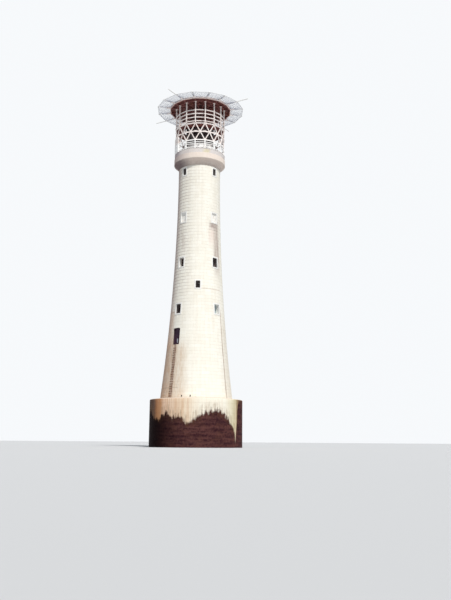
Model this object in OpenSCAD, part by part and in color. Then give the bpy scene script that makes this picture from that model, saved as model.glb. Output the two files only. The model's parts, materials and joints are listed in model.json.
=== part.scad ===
// Rock lighthouse of granite with a helicopter deck over its lantern, as a scale model at 1:2.
// Frame: +Z up, the origin in the middle of the underside of the base, the door facing -Y.
// Angles round the tower are counted from the door, positive towards +X.

/* [Base drum] */
// Radius of the solid base drum
base_r = 3125; // [2950:5:3300]
// Height of the base drum with its top course
base_h = 3130; // [2800:10:3400]
// Height of the top course of the base
top_course_h = 300; // [200:5:450]
// Radius of the eased upper edge of the base
base_edge_r = 45; // [20:1:90]

/* [Tower] */
// Outer radius of the tower where it leaves the base
foot_r = 2450; // [2380:5:2600]
// Outer radius of the straight top of the tower
top_r = 1475; // [1440:5:1550]
// Height of the straight top of the tower under the gallery cornice
straight_h = 500; // [300:10:900]
// Inner radius of the entrance room
room_r = 975; // [900:5:1000]
// Width of the ledge on which each floor rests
ledge_w = 25; // [15:1:30]
// Thickness of the floor slabs
floor_t = 120; // [80:1:180]
// Width of the two drain holes in the foot
drain_w = 75; // [50:1:100]
// Height of the drain holes
drain_h = 120; // [80:1:160]
// Depth of the drain holes
drain_depth = 300; // [150:5:400]
// Height of the drain holes over the base
drain_rise = 100; // [60:1:200]

/* [Storeys] */
// Height of the solid foot between the base and the entrance floor
foot_h = 3610; // [3200:10:4000]
// Height from the entrance floor to the second floor
entrance_storey_h = 1860; // [1700:10:2100]
// Height from the second floor to the third
second_storey_h = 1650; // [1450:10:1850]
// Height from the third floor to the fourth
third_storey_h = 1650; // [1450:10:1850]
// Height from the fourth floor to the fifth
fourth_storey_h = 3200; // [2800:10:3600]
// Height from the fifth floor to the top floor
fifth_storey_h = 3400; // [3000:10:3800]
// Height from the top floor to the gallery cornice
top_storey_h = 1000; // [920:10:1150]

/* [Windows] */
// Height of the middle of the second storey windows over the floor
second_window_rise = 600; // [500:5:700]
// Height of the middle of the third storey windows over the floor
third_window_rise = 575; // [450:5:700]
// Height of the middle of the fourth storey windows over the floor
fourth_window_rise = 575; // [500:5:900]
// Height of the middle of the fifth storey shutters over the floor
fifth_window_rise = 600; // [500:5:900]
// Height of the middle of the top storey windows over the floor
top_window_rise = 575; // [450:5:600]
// Width of the large windows
large_window_w = 450; // [400:5:520]
// Height of the large windows
large_window_h = 650; // [560:5:680]
// Width of the small windows
small_window_w = 295; // [260:5:360]
// Height of the small windows
small_window_h = 500; // [440:5:540]
// Radius of the upper corners of the windows
window_corner_r = 60; // [30:1:90]
// Width of the painted stone surround
surround_w = 90; // [50:1:95]
// Depth of the painted stone surround
surround_d = 190; // [170:1:240]
// Distance of the glazed windows' frames behind the wall face
window_setback = 250; // [200:1:270]
// Distance of the shutters' frames behind the wall face
shutter_setback = 40; // [35:1:70]
// Width of a window frame's bars
window_bar_w = 32; // [20:1:45]
// Depth of a window frame
window_bar_d = 40; // [25:1:45]
// Thickness of the window glass
glass_t = 8; // [4:1:14]
// Thickness of the shutters of the fifth storey
shutter_t = 20; // [12:1:30]
// Radius of the vent hole in a shutter
shutter_hole_r = 30; // [15:1:45]

/* [Door] */
// Width of the doorway
door_w = 655; // [600:5:700]
// Height of the doorway
door_h = 1130; // [1060:5:1200]
// Radius of the upper corners of the doorway
door_corner_r = 125; // [60:5:180]
// Depth of the doorway's reveal at its head
door_setback = 85; // [60:5:120]
// Extra width of the passage on each side of the doorway
passage_side = 45; // [40:1:70]
// Extra height of the passage over the doorway
passage_head = 60; // [45:1:80]
// Depth of the door frame
door_frame_t = 40; // [30:1:60]
// Width of the door frame seen inside the doorway
door_frame_w = 28; // [15:1:40]
// Thickness of the threshold and of the head plate
threshold_t = 20; // [14:1:30]
// Thickness of a door leaf
leaf_t = 30; // [24:1:40]
// Free gap round a door leaf
leaf_gap = 5; // [5:0.5:8]
// Radius of the pivot pins of a leaf
pivot_r = 8; // [6:0.5:10]
// Radial clearance of the pivot pins
pivot_clear = 0.1; // [0.05:0.01:0.1]
// Width of the collar round a pivot pin
pivot_collar_w = 3; // [2:0.5:5]
// Depth of the sunk panels of a leaf
leaf_panel_d = 6; // [3:0.5:8]
// Width of the rails and stiles of a leaf
leaf_stile_w = 45; // [35:1:60]

/* [Ladder] */
// Distance between two rungs
rung_pitch = 160; // [130:1:200]
// Width of a rung
rung_w = 200; // [160:5:260]
// Radius of the bar of a rung
rung_r = 11; // [8:0.5:16]
// Distance of the rungs from the wall
rung_reach = 80; // [60:1:110]

/* [Gallery] */
// Outer radius of the gallery cornice
cornice_r = 1815; // [1700:5:1950]
// Height of the cove under the cornice
cove_h = 400; // [330:5:450]
// Height of the upright band of the cornice
cornice_band_h = 365; // [300:5:420]
// Thickness of the gallery floor
gallery_floor_t = 185; // [120:5:240]
// Distance of the gallery kerb behind the edge of the cornice
kerb_setback = 15; // [5:1:25]
// Thickness of the gallery kerb
kerb_t = 145; // [110:1:180]
// Height of the gallery kerb
kerb_h = 320; // [260:5:380]
// Side of the bars of the gallery rails
rail_t = 40; // [28:1:50]
// Height of the lowest rail over the kerb
low_rail_rise = 115; // [80:5:150]
// Height of the middle rail over the kerb
mid_rail_rise = 350; // [300:5:380]
// Height of the upper rail over the kerb
high_rail_rise = 475; // [440:5:520]
// Gap between the white cabinet outside the rails and the posts beside it
cabinet_side = 3; // [1:0.5:60]
// Height of the cabinet
cabinet_h = 1150; // [900:10:1300]
// Depth of the cabinet
cabinet_d = 70; // [50:1:90]
// Radius of the rounded upper corners of the cabinet
cabinet_corner_r = 140; // [60:5:200]

/* [Lantern] */
// Outer radius of the wall under the lantern
murette_r = 1015; // [960:5:1060]
// Thickness of the wall under the lantern
murette_t = 60; // [40:1:90]
// Height of the wall under the lantern
murette_h = 800; // [700:5:900]
// Height of the lantern's glazing
glazing_h = 1640; // [1500:5:1750]
// Depth of the lantern's glazing bars
glazing_bar_d = 45; // [30:1:60]
// Width of the lantern's glazing bars
glazing_bar_w = 30; // [20:1:45]
// Thickness of the lantern's glass
lantern_glass_t = 8; // [5:1:14]
// Overhang of the lantern roof
eave_reach = 45; // [25:1:80]
// Height of the lantern roof
roof_h = 560; // [480:5:600]
// Thickness of the lantern roof
roof_t = 18; // [10:1:30]
// Radius of the lantern's roof ventilator
vent_r = 130; // [90:5:170]
// Height of the lantern's roof ventilator
vent_h = 230; // [150:5:260]
// Radius of the lens
lens_r = 400; // [300:5:480]
// Height of the lens
lens_h = 1150; // [900:10:1300]
// Number of the ribbed rings of the lens
lens_rings = 11; // [7:1:15]
// Depth of the grooves between the rings of the lens
lens_groove = 16; // [8:1:24]
// Share by which the lens narrows from its middle to its ends
lens_taper = 0.15; // [0:0.01:0.25]
// Height of the pedestal under the lens
pedestal_h = 560; // [450:10:650]

/* [Cage] */
// Number of bays of the cage and of the deck
bays = 16; // [12:4:20]
// Distance of the middle of the posts behind the edge of the kerb
cage_setback = 40; // [38:1:60]
// Side of a cage post
post_t = 70; // [56:1:76]
// Height of the lowest lattice chord over the kerb
lattice_rise = 640; // [600:5:680]
// Height of the lattice between its outer chords
lattice_h = 1250; // [1150:5:1330]
// Width of the lattice chords
chord_w = 75; // [55:1:90]
// Width of the lattice diagonals
brace_w = 64; // [45:1:80]
// Thickness of the lattice
lattice_t = 50; // [36:1:56]
// Height of the first louvre bar over the upper chord
louvre_rise = 165; // [130:5:190]
// Distance between two louvre bars
louvre_pitch = 278; // [250:1:290]
// Number of louvre bars in a bay
louvres = 4; // [3:1:4]
// Height of a louvre bar
louvre_w = 62; // [44:1:80]
// Thickness of a louvre bar
louvre_t = 40; // [28:1:52]
// Height of the deck's beams over the middle of the highest louvre bar
head_room = 626; // [500:1:800]
// Width of the walk inside the cage, level with the upper chord
walk_w = 550; // [450:5:580]
// Depth of the ribs round a plate of the walk
walk_rib_h = 50; // [40:1:54]
// Width of the ribs round a plate of the walk
walk_rib_w = 16; // [10:1:24]
// Thickness of the walk's plates
walk_t = 12; // [8:1:20]

/* [Deck] */
// Radius of the corners of the deck
deck_r = 2225; // [2150:5:2300]
// Thickness of the deck plate
deck_plate_t = 25; // [15:1:35]
// Depth of the deck's beams
beam_h = 125; // [100:5:150]
// Width of the deck's beams
beam_w = 60; // [44:1:80]
// Radius of the inner ring of beams
inner_ring_r = 1250; // [1150:5:1350]
// Radius of the hub that joins the radial beams
hub_r = 260; // [200:5:320]
// Height of the white fascia
fascia_h = 125; // [100:1:140]
// Thickness of the white fascia
fascia_t = 22; // [14:1:30]
// Gap between the fascia and the arm sleeve at a corner of the deck
fascia_gap = 6; // [2:1:16]
// Radius of a deck light
light_r = 30; // [20:1:36]
// Height of a deck light
light_h = 120; // [80:1:150]

/* [Safety net] */
// Reach of the short arms from the axis
short_arm_r = 3150; // [3000:5:3300]
// Reach of the four long arms from the axis
long_arm_r = 4000; // [3800:5:4200]
// Radius of an arm's rod
arm_rod_r = 24; // [16:1:32]
// Length of an arm's root sleeve
sleeve_l = 300; // [220:5:380]
// Width of an arm's root sleeve
sleeve_w = 80; // [72:1:100]
// Length of the thick white tip of a short arm
tip_l = 260; // [180:5:320]
// Radius of the thick white tip of an arm
tip_r = 34; // [26:1:40]
// Radius of the cable round the net
rim_r = 9; // [6:0.5:14]
// Thickness of the net
net_t = 8; // [5:0.5:12]

/* [Hidden] */

// Fineness of the drawn circles
$fn = 96;
// Fineness of the tower's walls, whose quarters are cut beside the doorway
wall_fn = 192;
// Height of the straight steps in which the batter's arc is built
curve_step = 600;
// Gap at which loose pieces lie from their seats
seat_gap = 0.3;
// Overrun of a cut past a face
over = 10;
// Room in which whole quarters of the tower are cut
far = 6000;

// Floors, one storey over the other
entrance_z = base_h + foot_h;
second_floor_z = entrance_z + entrance_storey_h;
third_floor_z = second_floor_z + second_storey_h;
fourth_floor_z = third_floor_z + third_storey_h;
fifth_floor_z = fourth_floor_z + fourth_storey_h;
top_floor_z = fifth_floor_z + fifth_storey_h;
cornice_z = top_floor_z + top_storey_h;

// The batter is one arc that is upright where it ends
curve_top_z = cornice_z - straight_h;
curve_rise = curve_top_z - base_h;
curve_in = foot_r - top_r;
curve_r = (curve_rise * curve_rise + curve_in * curve_in) / (2 * curve_in);
function tower_r(z) = z >= curve_top_z ? top_r
    : top_r + curve_r - sqrt(curve_r * curve_r - pow(curve_top_z - z, 2));
// Most that a straight step of the wall stands outside its arc
curve_proud = curve_step * curve_step / (8 * curve_r);

floor_z = [entrance_z, second_floor_z, third_floor_z, fourth_floor_z, fifth_floor_z, top_floor_z];
function storey_r(n) = room_r + n * ledge_w;
function wall_from(n) = n == 0 ? entrance_z : floor_z[n] - floor_t;
function wall_to(n) = n == len(floor_z) - 1 ? cornice_z : floor_z[n + 1] - floor_t;

// Windows face the four quarters, or two diagonal quarters in the third storey
quarters = [0, 90, 180, 270];
diagonals = [45, 225];
// Each row: storey, height of its middle, width, height, directions
second_row = [1, second_floor_z + second_window_rise, large_window_w, large_window_h, quarters];
third_row = [2, third_floor_z + third_window_rise, small_window_w, small_window_h, diagonals];
fourth_row = [3, fourth_floor_z + fourth_window_rise, large_window_w, large_window_h, quarters];
fifth_row = [4, fifth_floor_z + fifth_window_rise, large_window_w, large_window_h, quarters];
top_row = [5, top_floor_z + top_window_rise, small_window_w, small_window_h, quarters];
glazed_rows = [second_row, third_row, fourth_row, top_row];
all_rows = [second_row, third_row, fourth_row, fifth_row, top_row];
function frame_front_y(row) = -tower_r(row[1]) + (row == fifth_row ? shutter_setback : window_setback);

// Door
door_y = -(tower_r(entrance_z + door_h) - door_setback);
passage_w = door_w + 2 * passage_side;
passage_h = door_h + passage_head;
leaf_y = door_y + door_frame_t + leaf_gap + leaf_t / 2;
leaf_hinge_x = passage_w / 2 - leaf_t / 2 - leaf_gap - 2 * seat_gap;
leaf_low_z = entrance_z + threshold_t + leaf_gap;
leaf_high_z = entrance_z + passage_h - seat_gap - threshold_t - leaf_gap;
threshold_d = door_frame_t + 3 * leaf_gap + leaf_t;

// Gallery and cage
kerb_r = cornice_r - kerb_setback;
cage_r = kerb_r - cage_setback;
kerb_z = cornice_z + cove_h + cornice_band_h;
kerb_top_z = kerb_z + kerb_h;
gallery_z = kerb_z + gallery_floor_t;
cove_in = cornice_r - top_r;
cove_r = (cove_h * cove_h + cove_in * cove_in) / (2 * cove_in);
bay_angle = 360 / bays;
bay_y = cage_r * cos(bay_angle / 2);
bay_w = 2 * cage_r * sin(bay_angle / 2);
lattice_low_z = kerb_top_z + lattice_rise;
lattice_high_z = lattice_low_z + lattice_h;
louvre_heights = [for (i = [0:louvres - 1]) lattice_high_z + louvre_rise + i * louvre_pitch];
frame_z = louvre_heights[louvres - 1] + head_room;
walk_far_y = bay_y - lattice_t / 2 - seat_gap;
walk_near_y = walk_far_y - walk_w;
deck_z = frame_z + beam_h + deck_plate_t;

// Lantern
glazing_z = gallery_z + murette_h;
roof_z = glazing_z + glazing_h;
glazing_y = (murette_r - murette_t / 2) * cos(bay_angle / 2);
glazing_w = 2 * glazing_y * tan(bay_angle / 2);
eave_r = murette_r + eave_reach;

// Deck
plate_r = deck_r - (fascia_t + seat_gap) / cos(bay_angle / 2);
plate_y = plate_r * cos(bay_angle / 2);
fascia_w = 2 * plate_r * sin(bay_angle / 2) - sleeve_w / cos(bay_angle / 2) - 2 * fascia_gap;
arm_z = deck_z - deck_plate_t - beam_h / 2;
edge_beam_r = (plate_y - beam_w / 2) / cos(bay_angle / 2);
sleeve_root_r = plate_r + seat_gap;
sleeve_end_r = sleeve_root_r + sleeve_l;

// Turns its children to the given angle from the door
module at_angle(a) rotate([0, 0, a]) children();

// Copies its children to every corner of the cage and deck
module at_corners(list) for (i = list) at_angle((i + 0.5) * bay_angle) children();

// Copies its children to every bay of the cage and deck
module at_bays(list) for (i = list) at_angle(i * bay_angle) children();

all_bays = [0:bays - 1];

// Half profile of the tower between two heights, from an inner radius out to its face
module tower_profile(low, high, inner) {
    steps = ceil((high - low) / curve_step);
    face = [for (i = [0:steps]) let (z = low + (high - low) * i / steps) [tower_r(z), z]];
    polygon(concat([[inner, low]], face, [[inner, high]]));
}

module tower_ring(low, high, inner) rotate_extrude($fn = wall_fn) tower_profile(low, high, inner);

module storey_ring(n) tower_ring(wall_from(n), wall_to(n), storey_r(n));

// Outline of an opening with rounded upper corners, its foot on the X axis
module arched_outline(w, h, corner) {
    translate([-w / 2, 0]) square([w, h - corner]);
    translate([-w / 2 + corner, 0]) square([w - 2 * corner, h]);
    for (side = [-1, 1]) translate([side * (w / 2 - corner), h - corner]) circle(r = corner);
}

// An upright panel of the given outline, its front face at y and its back face at y + depth
module upright(y, depth, z) translate([0, y + depth, z]) rotate([90, 0, 0])
    linear_extrude(height = depth) children();

// Hole of a window through the wall, with its sill at z
module window_hole(row, front, depth, gap) upright(front, depth, row[1] - row[3] / 2)
    translate([0, gap]) arched_outline(row[2] - 2 * gap, row[3] - 2 * gap, window_corner_r - gap);

// Block of stone round a window, from outside the wall in to the depth of the surround
module surround_block(row) {
    face = tower_r(row[1]);
    low = row[1] - row[3] / 2 - surround_w;
    translate([-row[2] / 2 - surround_w, -face - surround_d, low])
        cube([row[2] + 2 * surround_w, 2 * surround_d, row[3] + 2 * surround_w]);
}

// Wall of a storey in four quarters, with the places of its windows and surrounds cut out.
// The quarters meet midway between the windows, at fine joints.
module windowed_wall(row) color("ivory") difference() {
    storey_ring(row[0]);
    for (a = [row[4][0] + 45, row[4][0] + 135]) at_angle(a)
        translate([-far / 2, -seat_gap / 2, 0]) cube([far, seat_gap, far * 4]);
    for (a = row[4]) at_angle(a) {
        window_hole(row, -far / 2, far / 2, 0);
        surround_block(row);
    }
}

// Solid masonry

module base_drum() color("dimgray")
    cylinder(r = base_r, h = base_h - top_course_h);

module base_top_course() color("tan") translate([0, 0, base_h - top_course_h]) rotate_extrude() {
    square([base_r, top_course_h - base_edge_r]);
    square([base_r - base_edge_r, top_course_h]);
    translate([base_r - base_edge_r, top_course_h - base_edge_r]) circle(r = base_edge_r);
}

drain_angles = [21.7, 35.6];
module tower_foot() color("ivory") difference() {
    tower_ring(base_h, entrance_z, 0);
    for (a = drain_angles) at_angle(a)
        translate([-drain_w / 2, -tower_r(base_h) - over, base_h + drain_rise])
            cube([drain_w, drain_depth + over, drain_h]);
}

// A rung is a bar on two studs that end on the wall
rung_count = floor((entrance_z - base_h - rung_pitch) / rung_pitch);
module ladder_rungs() color("saddlebrown") for (i = [1:rung_count]) {
    z = base_h + i * rung_pitch;
    stud_x = rung_w / 2 - rung_r;
    wall_r = tower_r(z - rung_r) + curve_proud;
    wall_y = -sqrt(wall_r * wall_r - pow(stud_x - rung_r, 2)) - seat_gap;
    translate([-rung_w / 2, wall_y - rung_reach, z - rung_r]) cube([rung_w, 2 * rung_r, 2 * rung_r]);
    for (x = [-stud_x, stud_x])
        translate([x - rung_r, wall_y - rung_reach, z - rung_r])
            cube([2 * rung_r, rung_reach, 2 * rung_r]);
}

// Entrance storey

// The column of wall in which the doorway stands, over the whole storey
module doorway_column() {
    translate([-door_w / 2, -far / 2, 0]) cube([door_w, far / 2 + door_y, far * 2]);
    translate([-passage_w / 2, door_y, 0]) cube([passage_w, -door_y, far * 2]);
}

module doorway_hole() {
    upright(-far / 2, far / 2 + door_y + over, entrance_z) arched_outline(door_w, door_h, door_corner_r);
    translate([-passage_w / 2, door_y, entrance_z - over])
        cube([passage_w, -door_y, passage_h + over]);
}

module entrance_side(mirrored) color("ivory") mirror([mirrored, 0, 0]) difference() {
    intersection() {
        storey_ring(0);
        translate([-far / 2, -far / 2, 0]) cube([far / 2, far / 2, far * 2]);
    }
    doorway_column();
}

module entrance_wall_left() entrance_side(0);

module entrance_wall_right() entrance_side(1);

module entrance_wall_back() color("ivory") intersection() {
    storey_ring(0);
    translate([-far / 2, 0, 0]) cube([far, far / 2, far * 2]);
}

module entrance_lintel() color("ivory") difference() {
    intersection() {
        storey_ring(0);
        doorway_column();
        translate([-far / 2, -far / 2, entrance_z + door_h - door_corner_r]) cube([far, far / 2, far]);
    }
    doorway_hole();
}

// Metal frame with a threshold and a head plate that carry the pivots of both leaves
module door_frame() color("dimgray") difference() {
    union() {
        difference() {
            translate([-passage_w / 2 + seat_gap, door_y, entrance_z])
                cube([passage_w - 2 * seat_gap, door_frame_t, passage_h - seat_gap]);
            upright(door_y - over, door_frame_t + 2 * over, entrance_z + threshold_t)
                arched_outline(door_w - 2 * door_frame_w, door_h - door_frame_w - threshold_t,
                    door_corner_r - door_frame_w / 2);
        }
        translate([-passage_w / 2 + seat_gap, door_y, entrance_z])
            cube([passage_w - 2 * seat_gap, threshold_d, threshold_t]);
        translate([-passage_w / 2 + seat_gap, door_y, entrance_z + passage_h - seat_gap - threshold_t])
            cube([passage_w - 2 * seat_gap, threshold_d, threshold_t]);
    }
    for (x = [-leaf_hinge_x, leaf_hinge_x])
        translate([x, leaf_y, entrance_z - over])
            cylinder(r = pivot_r + pivot_clear, h = passage_h + 2 * over);
}

// Left leaf: a plate with a round heel on its pivot axis and two sunk panels
module door_leaf() {
    leaf_w = leaf_hinge_x - leaf_gap;
    leaf_h = leaf_high_z - leaf_low_z;
    panel_w = leaf_w - 2 * leaf_stile_w;
    panel_h = (leaf_h - 3 * leaf_stile_w) / 2;
    translate([-leaf_hinge_x, leaf_y, 0]) {
        difference() {
            translate([0, -leaf_t / 2, leaf_low_z]) cube([leaf_w, leaf_t, leaf_h]);
            for (i = [0, 1])
                translate([leaf_stile_w, -leaf_t / 2 - over,
                        leaf_low_z + leaf_stile_w + i * (panel_h + leaf_stile_w)])
                    cube([panel_w, leaf_panel_d + over, panel_h]);
        }
        translate([0, 0, leaf_low_z]) cylinder(r = leaf_t / 2, h = leaf_h);
        translate([0, 0, entrance_z + seat_gap])
            cylinder(r = pivot_r, h = passage_h - 3 * seat_gap);
        translate([0, 0, leaf_low_z - leaf_gap + seat_gap])
            cylinder(r = pivot_r + pivot_collar_w, h = leaf_h + 2 * (leaf_gap - seat_gap));
    }
}

module door_leaf_left() color("darkslategray") door_leaf();

module door_leaf_right() color("darkslategray") mirror([1, 0, 0]) door_leaf();

// Upper storeys

module second_storey_wall() windowed_wall(second_row);

module third_storey_wall() windowed_wall(third_row);

module fourth_storey_wall() windowed_wall(fourth_row);

module fifth_storey_wall() windowed_wall(fifth_row);

module top_storey_wall() windowed_wall(top_row);

module storey_floors() color("silver") for (n = [1:len(floor_z) - 1])
    translate([0, 0, floor_z[n] - floor_t]) cylinder(r = storey_r(n) - seat_gap, h = floor_t);

module window_surrounds() color("white") for (row = all_rows) for (a = row[4]) difference() {
    intersection() {
        storey_ring(row[0]);
        at_angle(a) surround_block(row);
    }
    at_angle(a) window_hole(row, -far / 2, far / 2, 0);
}

module window_frames() color("gray") for (row = all_rows) for (a = row[4]) at_angle(a) {
    inner_w = row[2] - 2 * window_bar_w;
    inner_h = row[3] - 2 * window_bar_w;
    difference() {
        window_hole(row, frame_front_y(row), window_bar_d, seat_gap);
        upright(frame_front_y(row) - over, window_bar_d + 2 * over, row[1] - row[3] / 2 + window_bar_w)
            arched_outline(inner_w, inner_h, window_corner_r - window_bar_w / 2);
    }
}

// Panes lie against the back of their frames
module window_pane(row, thickness)
    window_hole(row, frame_front_y(row) + window_bar_d, thickness, 2 * seat_gap);

module window_glass() color("slategray") for (row = glazed_rows) for (a = row[4]) at_angle(a)
    window_pane(row, glass_t);

module window_shutters() color("white") for (a = fifth_row[4]) at_angle(a) difference() {
    window_pane(fifth_row, shutter_t);
    translate([0, 0, fifth_row[1] + fifth_row[3] / 4]) rotate([90, 0, 0])
        cylinder(r = shutter_hole_r, h = far / 2);
}

// Gallery

module gallery_cornice() color("antiquewhite") rotate_extrude() {
    inner = storey_r(len(floor_z) - 1);
    difference() {
        translate([inner, cornice_z]) square([cornice_r - inner, cove_h]);
        translate([top_r + cove_r, cornice_z]) circle(r = cove_r);
    }
    translate([inner, cornice_z + cove_h]) square([cornice_r - inner, cornice_band_h]);
}

module gallery_floor() color("silver") translate([0, 0, kerb_z])
    cylinder(r = kerb_r - kerb_t - seat_gap, h = gallery_floor_t);

module gallery_kerb() color("lightgray") translate([0, 0, kerb_z]) rotate_extrude()
    translate([kerb_r - kerb_t, 0]) square([kerb_t, kerb_h]);

// A post of the cage between two heights, or with a gap the room that it takes between the bars
module post(low, high, gap) translate([-post_t / 2 - gap, -cage_r - post_t / 2 - gap, low])
    cube([post_t + 2 * gap, post_t + 2 * gap, high - low]);

// Bars of one bay, cut where the two posts beside them stand
module bay_bars(heights, w, t) difference() {
    for (z = heights) translate([-bay_w / 2, -bay_y - t / 2, z - w / 2]) cube([bay_w, t, w]);
    at_corners([-1, 0]) post(kerb_top_z, frame_z, seat_gap);
}

rail_heights = [kerb_top_z + low_rail_rise, kerb_top_z + mid_rail_rise, kerb_top_z + high_rail_rise];
module gallery_rails() color("white") at_bays(all_bays) bay_bars(rail_heights, rail_t, rail_t);

// The cabinet fills one bay between its posts, in front of the rails
cabinet_bay = -1;
cabinet_w = bay_w - post_t * (cos(bay_angle / 2) + sin(bay_angle / 2)) - 2 * cabinet_side;
module gallery_cabinet() color("white") at_bays([cabinet_bay])
    upright(-bay_y - lattice_t / 2 - seat_gap - cabinet_d, cabinet_d, kerb_top_z + seat_gap)
        arched_outline(cabinet_w, cabinet_h, cabinet_corner_r);

// Lantern

module lantern_murette() color("white") translate([0, 0, gallery_z]) rotate_extrude()
    translate([murette_r - murette_t, 0]) square([murette_t, murette_h]);

glazing_rows = 3;
// One flat side of the lantern with its glazing bars
module glazing_side() {
    pane_h = (glazing_h - (glazing_rows + 1) * glazing_bar_w) / glazing_rows;
    difference() {
        upright(-glazing_y - glazing_bar_d / 2, glazing_bar_d, glazing_z)
            translate([-glazing_w / 2, 0]) square([glazing_w, glazing_h]);
        for (i = [0:glazing_rows - 1])
            upright(-glazing_y - glazing_bar_d, 2 * glazing_bar_d, glazing_z)
                translate([-glazing_w / 2 + glazing_bar_w / 2, glazing_bar_w + i * (pane_h + glazing_bar_w)])
                    square([glazing_w - glazing_bar_w, pane_h]);
    }
}

module lantern_frame() color("white") at_bays(all_bays) glazing_side();

module lantern_glass() color("slategray") at_bays(all_bays) {
    back = -glazing_y + glazing_bar_d / 2;
    half = glazing_w / 2 - glazing_bar_d * tan(bay_angle / 2);
    translate([-half, back, glazing_z + seat_gap])
        cube([2 * half, lantern_glass_t, glazing_h - 2 * seat_gap]);
}

// Dome of the roof: a shell between two arcs through the eave and the crown
dome_r = (roof_h * roof_h + eave_r * eave_r) / (2 * roof_h);
module lantern_roof() color("maroon") translate([0, 0, seat_gap]) rotate_extrude() {
    intersection() {
        difference() {
            translate([0, roof_z + roof_h - dome_r]) circle(r = dome_r, $fn = 180);
            translate([0, roof_z + roof_h - dome_r]) circle(r = dome_r - roof_t, $fn = 180);
        }
        translate([vent_r / 2, roof_z]) square([eave_r, roof_h]);
    }
    translate([murette_r - murette_t, roof_z]) square([eave_reach + murette_t, 2 * roof_t]);
}

module lantern_vent() color("maroon") translate([0, 0, roof_z + roof_h - roof_t]) rotate_extrude() {
    square([vent_r / 2 - seat_gap, roof_t]);
    translate([0, roof_t]) square([vent_r, vent_h / 4]);
    translate([0, roof_t]) square([vent_r / 2, vent_h]);
    translate([0, roof_t + vent_h * 0.75]) square([vent_r, vent_h / 4]);
}

module optic_pedestal() color("darkgreen") translate([0, 0, gallery_z]) rotate_extrude() {
    square([lens_r, pedestal_h / 8]);
    square([lens_r / 2, pedestal_h]);
    translate([0, pedestal_h * 7 / 8]) square([lens_r, pedestal_h / 8]);
}

// The lens is a barrel of ribbed rings, widest in the middle
function lens_ring_r(i) = lens_r * (1 - lens_taper * (1 - sin(180 * (i + 0.5) / lens_rings)));
lens_pitch = lens_h / lens_rings;
module optic_lens() color("lightsteelblue") translate([0, 0, gallery_z + pedestal_h + seat_gap])
    rotate_extrude() {
        square([lens_ring_r(0) - lens_groove, lens_h]);
        for (i = [0:lens_rings - 1]) translate([0, i * lens_pitch]) polygon([
            [0, 0], [lens_ring_r(i) - lens_groove, 0], [lens_ring_r(i), lens_pitch / 2],
            [lens_ring_r(i) - lens_groove, lens_pitch], [0, lens_pitch]]);
    }

// Cage

// The posts stand below and above the lattice, which carries itself between them
module cage_posts() color("white") at_corners(all_bays) {
    post(kerb_top_z + seat_gap, lattice_low_z - chord_w / 2 - seat_gap, 0);
    post(lattice_high_z + chord_w / 2 + seat_gap, frame_z - seat_gap, 0);
}

// A straight bar between two points of a flat outline
module flat_bar(a, b, w) translate(a) rotate(atan2(b[1] - a[1], b[0] - a[0]))
    translate([0, -w / 2]) square([norm(b - a), w]);

// Room of one bay between the upright planes through its two corners
module bay_wedge() translate([0, -seat_gap / 2 / sin(bay_angle / 2), 0])
    linear_extrude(height = far * 5)
        polygon([[0, 0], [-far * tan(bay_angle / 2), -far], [far * tan(bay_angle / 2), -far]]);

// One flat bay of the lattice: three mitred chords and two crossing diagonals
module lattice_bay() intersection() {
    low = [-bay_w / 2, lattice_low_z];
    high = [bay_w / 2, lattice_high_z];
    upright(-bay_y - lattice_t / 2, lattice_t, 0) {
        for (z = [low[1], (low[1] + high[1]) / 2, high[1]])
            flat_bar([low[0] - chord_w, z], [high[0] + chord_w, z], chord_w);
        flat_bar(low, high, brace_w);
        flat_bar([low[0], high[1]], [high[0], low[1]], brace_w);
    }
    bay_wedge();
}

module cage_lattice() color("white") at_bays(all_bays) lattice_bay();

module cage_louvres() color("white") at_bays(all_bays) bay_bars(louvre_heights, louvre_w, louvre_t);

// Outline of one bay of the walk, drawn in all round by an inset
module walk_outline(inset) {
    side = (seat_gap / 2 + inset) / cos(bay_angle / 2);
    near_y = walk_near_y + inset;
    far_y = walk_far_y - inset;
    near_x = near_y * tan(bay_angle / 2) - side;
    far_x = far_y * tan(bay_angle / 2) - side;
    polygon([[-near_x, -near_y], [near_x, -near_y], [far_x, -far_y], [-far_x, -far_y]]);
}

// Plates with ribs below, one to a bay, fixed to the upper chord of the lattice
module cage_walk() color("dimgray") at_bays(all_bays)
    translate([0, 0, lattice_high_z - walk_rib_h / 2]) difference() {
        linear_extrude(height = walk_rib_h) walk_outline(0);
        translate([0, 0, -over]) linear_extrude(height = walk_rib_h - walk_t + over) walk_outline(walk_rib_w);
    }

// Deck

function corner_point(r, i) = [r * sin((i + 0.5) * bay_angle), -r * cos((i + 0.5) * bay_angle)];
function bay_point(r, i) = [r * sin(i * bay_angle), -r * cos(i * bay_angle)];

module ring_of_bars(r, w) for (i = all_bays) flat_bar(corner_point(r, i), corner_point(r, i + 1), w);

module deck_frame() color("gray") translate([0, 0, frame_z]) linear_extrude(height = beam_h) {
    circle(r = hub_r);
    for (i = all_bays) {
        flat_bar([0, 0], corner_point(plate_r, i), beam_w);
        flat_bar(corner_point(cage_r, i), bay_point(inner_ring_r, i + 1), beam_w / 2);
        flat_bar(corner_point(cage_r, i), bay_point(inner_ring_r, i), beam_w / 2);
    }
    ring_of_bars(inner_ring_r / cos(bay_angle / 2), beam_w);
    ring_of_bars(cage_r, beam_w);
    ring_of_bars(edge_beam_r, beam_w);
}

module deck_plate() color("darkslategray") translate([0, 0, deck_z - deck_plate_t])
    linear_extrude(height = deck_plate_t) polygon([for (i = all_bays) corner_point(plate_r, i)]);

module deck_fascia() color("white") at_bays(all_bays)
    translate([-fascia_w / 2, -plate_y - seat_gap - fascia_t, deck_z - fascia_h])
        cube([fascia_w, fascia_t, fascia_h]);

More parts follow.
